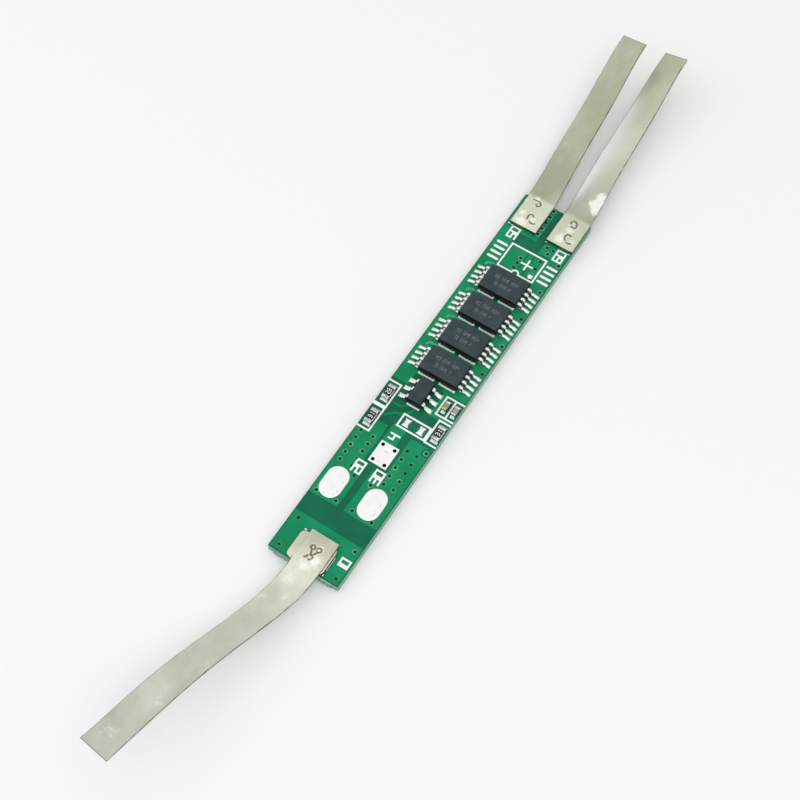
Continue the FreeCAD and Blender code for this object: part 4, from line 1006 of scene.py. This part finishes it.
joints, numbers = bmesh.new(), bmesh.new()
for i, text in ((1, "31"), (2, "23"), (3, "31")):
    small_part(f"resistor_{i}", FINISHES["resistor_body"], "resistor_body", RESISTOR_CAP, joints)
    low, high = box(f"resistor_{i}_coat")
    bm = bmesh.new()
    slab(bm, *halfway(low, high), high - low, 0.05, [(low.z, 0), (high.z, 0.02)], 3)
    hand_over(f"resistor_{i}_overcoat", bm, FINISHES["resistor_coat"], "resistor_coat",
              f"resistor_{i}_coat")
    stroke_figure(numbers, text, *halfway(low, high), high.z)
for i, finish in ((1, FINISHES["capacitor_body"]), (2, ROSE_CERAMIC)):
    small_part(f"capacitor_{i}", finish, "capacitor_body", CAPACITOR_CAP, joints)
hand_over("small_part_fillets", joints, FINISHES["solder"], "solder", "small_part_solder", angle=60)
hand_over("resistor_numbers", numbers, FINISHES["print"], "print")


# Floor, lamps and camera. The floor is in millimetres, and the lamps and the camera in metres.

FLOOR_HALF, FLOOR_CORNER, FLOOR_LEVELS = 8000, 500, (-5, -0.02)
SKY = ((0.0, 0.5), (0.8, 0.95))  # height and brightness of its two ends
LAMP_SIZE = 0.3
LAMPS = (("softbox", 0.33, (0.13, -0.21, 0.38)), ("fill", 0.16, (-0.3, -0.16, 0.24)))
CAMERA_PLACE, CAMERA_PITCH, CAMERA_TURN = (0.03531, -0.06135, 0.13368), 62.77, 32.9
SENSOR, LENS = 36, 69.81


def plain_floor():
    bm = bmesh.new()
    skin(bm, [[(px, py, z) for px, py in rounded(0, 0, FLOOR_HALF, FLOOR_HALF, FLOOR_CORNER)]
              for z in FLOOR_LEVELS])
    mesh = bpy.data.meshes.new("floor")
    bm.to_mesh(mesh)
    bm.free()
    mesh.transform(Matrix.Scale(MM, 4))
    item = bpy.data.objects.new("floor", mesh)
    bpy.context.scene.collection.objects.link(item)
    it = Finish("floor_paper", Roughness=0.9, Specular_IOR_Level=0.0)
    it.colour(it.mix(it.grain(0.01), srgb(245, 245, 245), srgb(246, 246, 246)))
    mesh.materials.append(it.material)


def studio():
    scene = bpy.context.scene
    world = bpy.data.worlds.new("studio")
    scene.world = world
    world.use_nodes = True
    tree = world.node_tree
    sky = tree.nodes.new("ShaderNodeValToRGB")
    split = tree.nodes.new("ShaderNodeSeparateXYZ")
    tree.links.new(tree.nodes.new("ShaderNodeTexCoord").outputs["Generated"], split.inputs[0])
    tree.links.new(split.outputs["Z"], sky.inputs["Fac"])
    for mark, (height, level) in zip(sky.color_ramp.elements, SKY):
        mark.position, mark.color = height, (level, level, level, 1)
    tree.links.new(sky.outputs["Color"], tree.nodes["Background"].inputs["Color"])
    for name, power, place in LAMPS:
        lamp = bpy.data.lights.new(name, "AREA")
        lamp.size, lamp.energy = LAMP_SIZE, power
        item = bpy.data.objects.new(name, lamp)
        item.location = place
        item.rotation_euler = Vector(place).to_track_quat("Z", "Y").to_euler()
        scene.collection.objects.link(item)


def photo_camera():
    data = bpy.data.cameras.new("camera")
    data.sensor_width, data.lens = SENSOR, LENS
    data.clip_start, data.clip_end = 0.005, 10
    item = bpy.data.objects.new("camera", data)
    item.location = CAMERA_PLACE
    item.rotation_euler = (math.radians(90 - CAMERA_PITCH), 0, math.radians(CAMERA_TURN))
    bpy.context.scene.collection.objects.link(item)
    bpy.context.scene.camera = item


plain_floor()
studio()
photo_camera()
bpy.context.scene.view_settings.view_transform = "Standard"
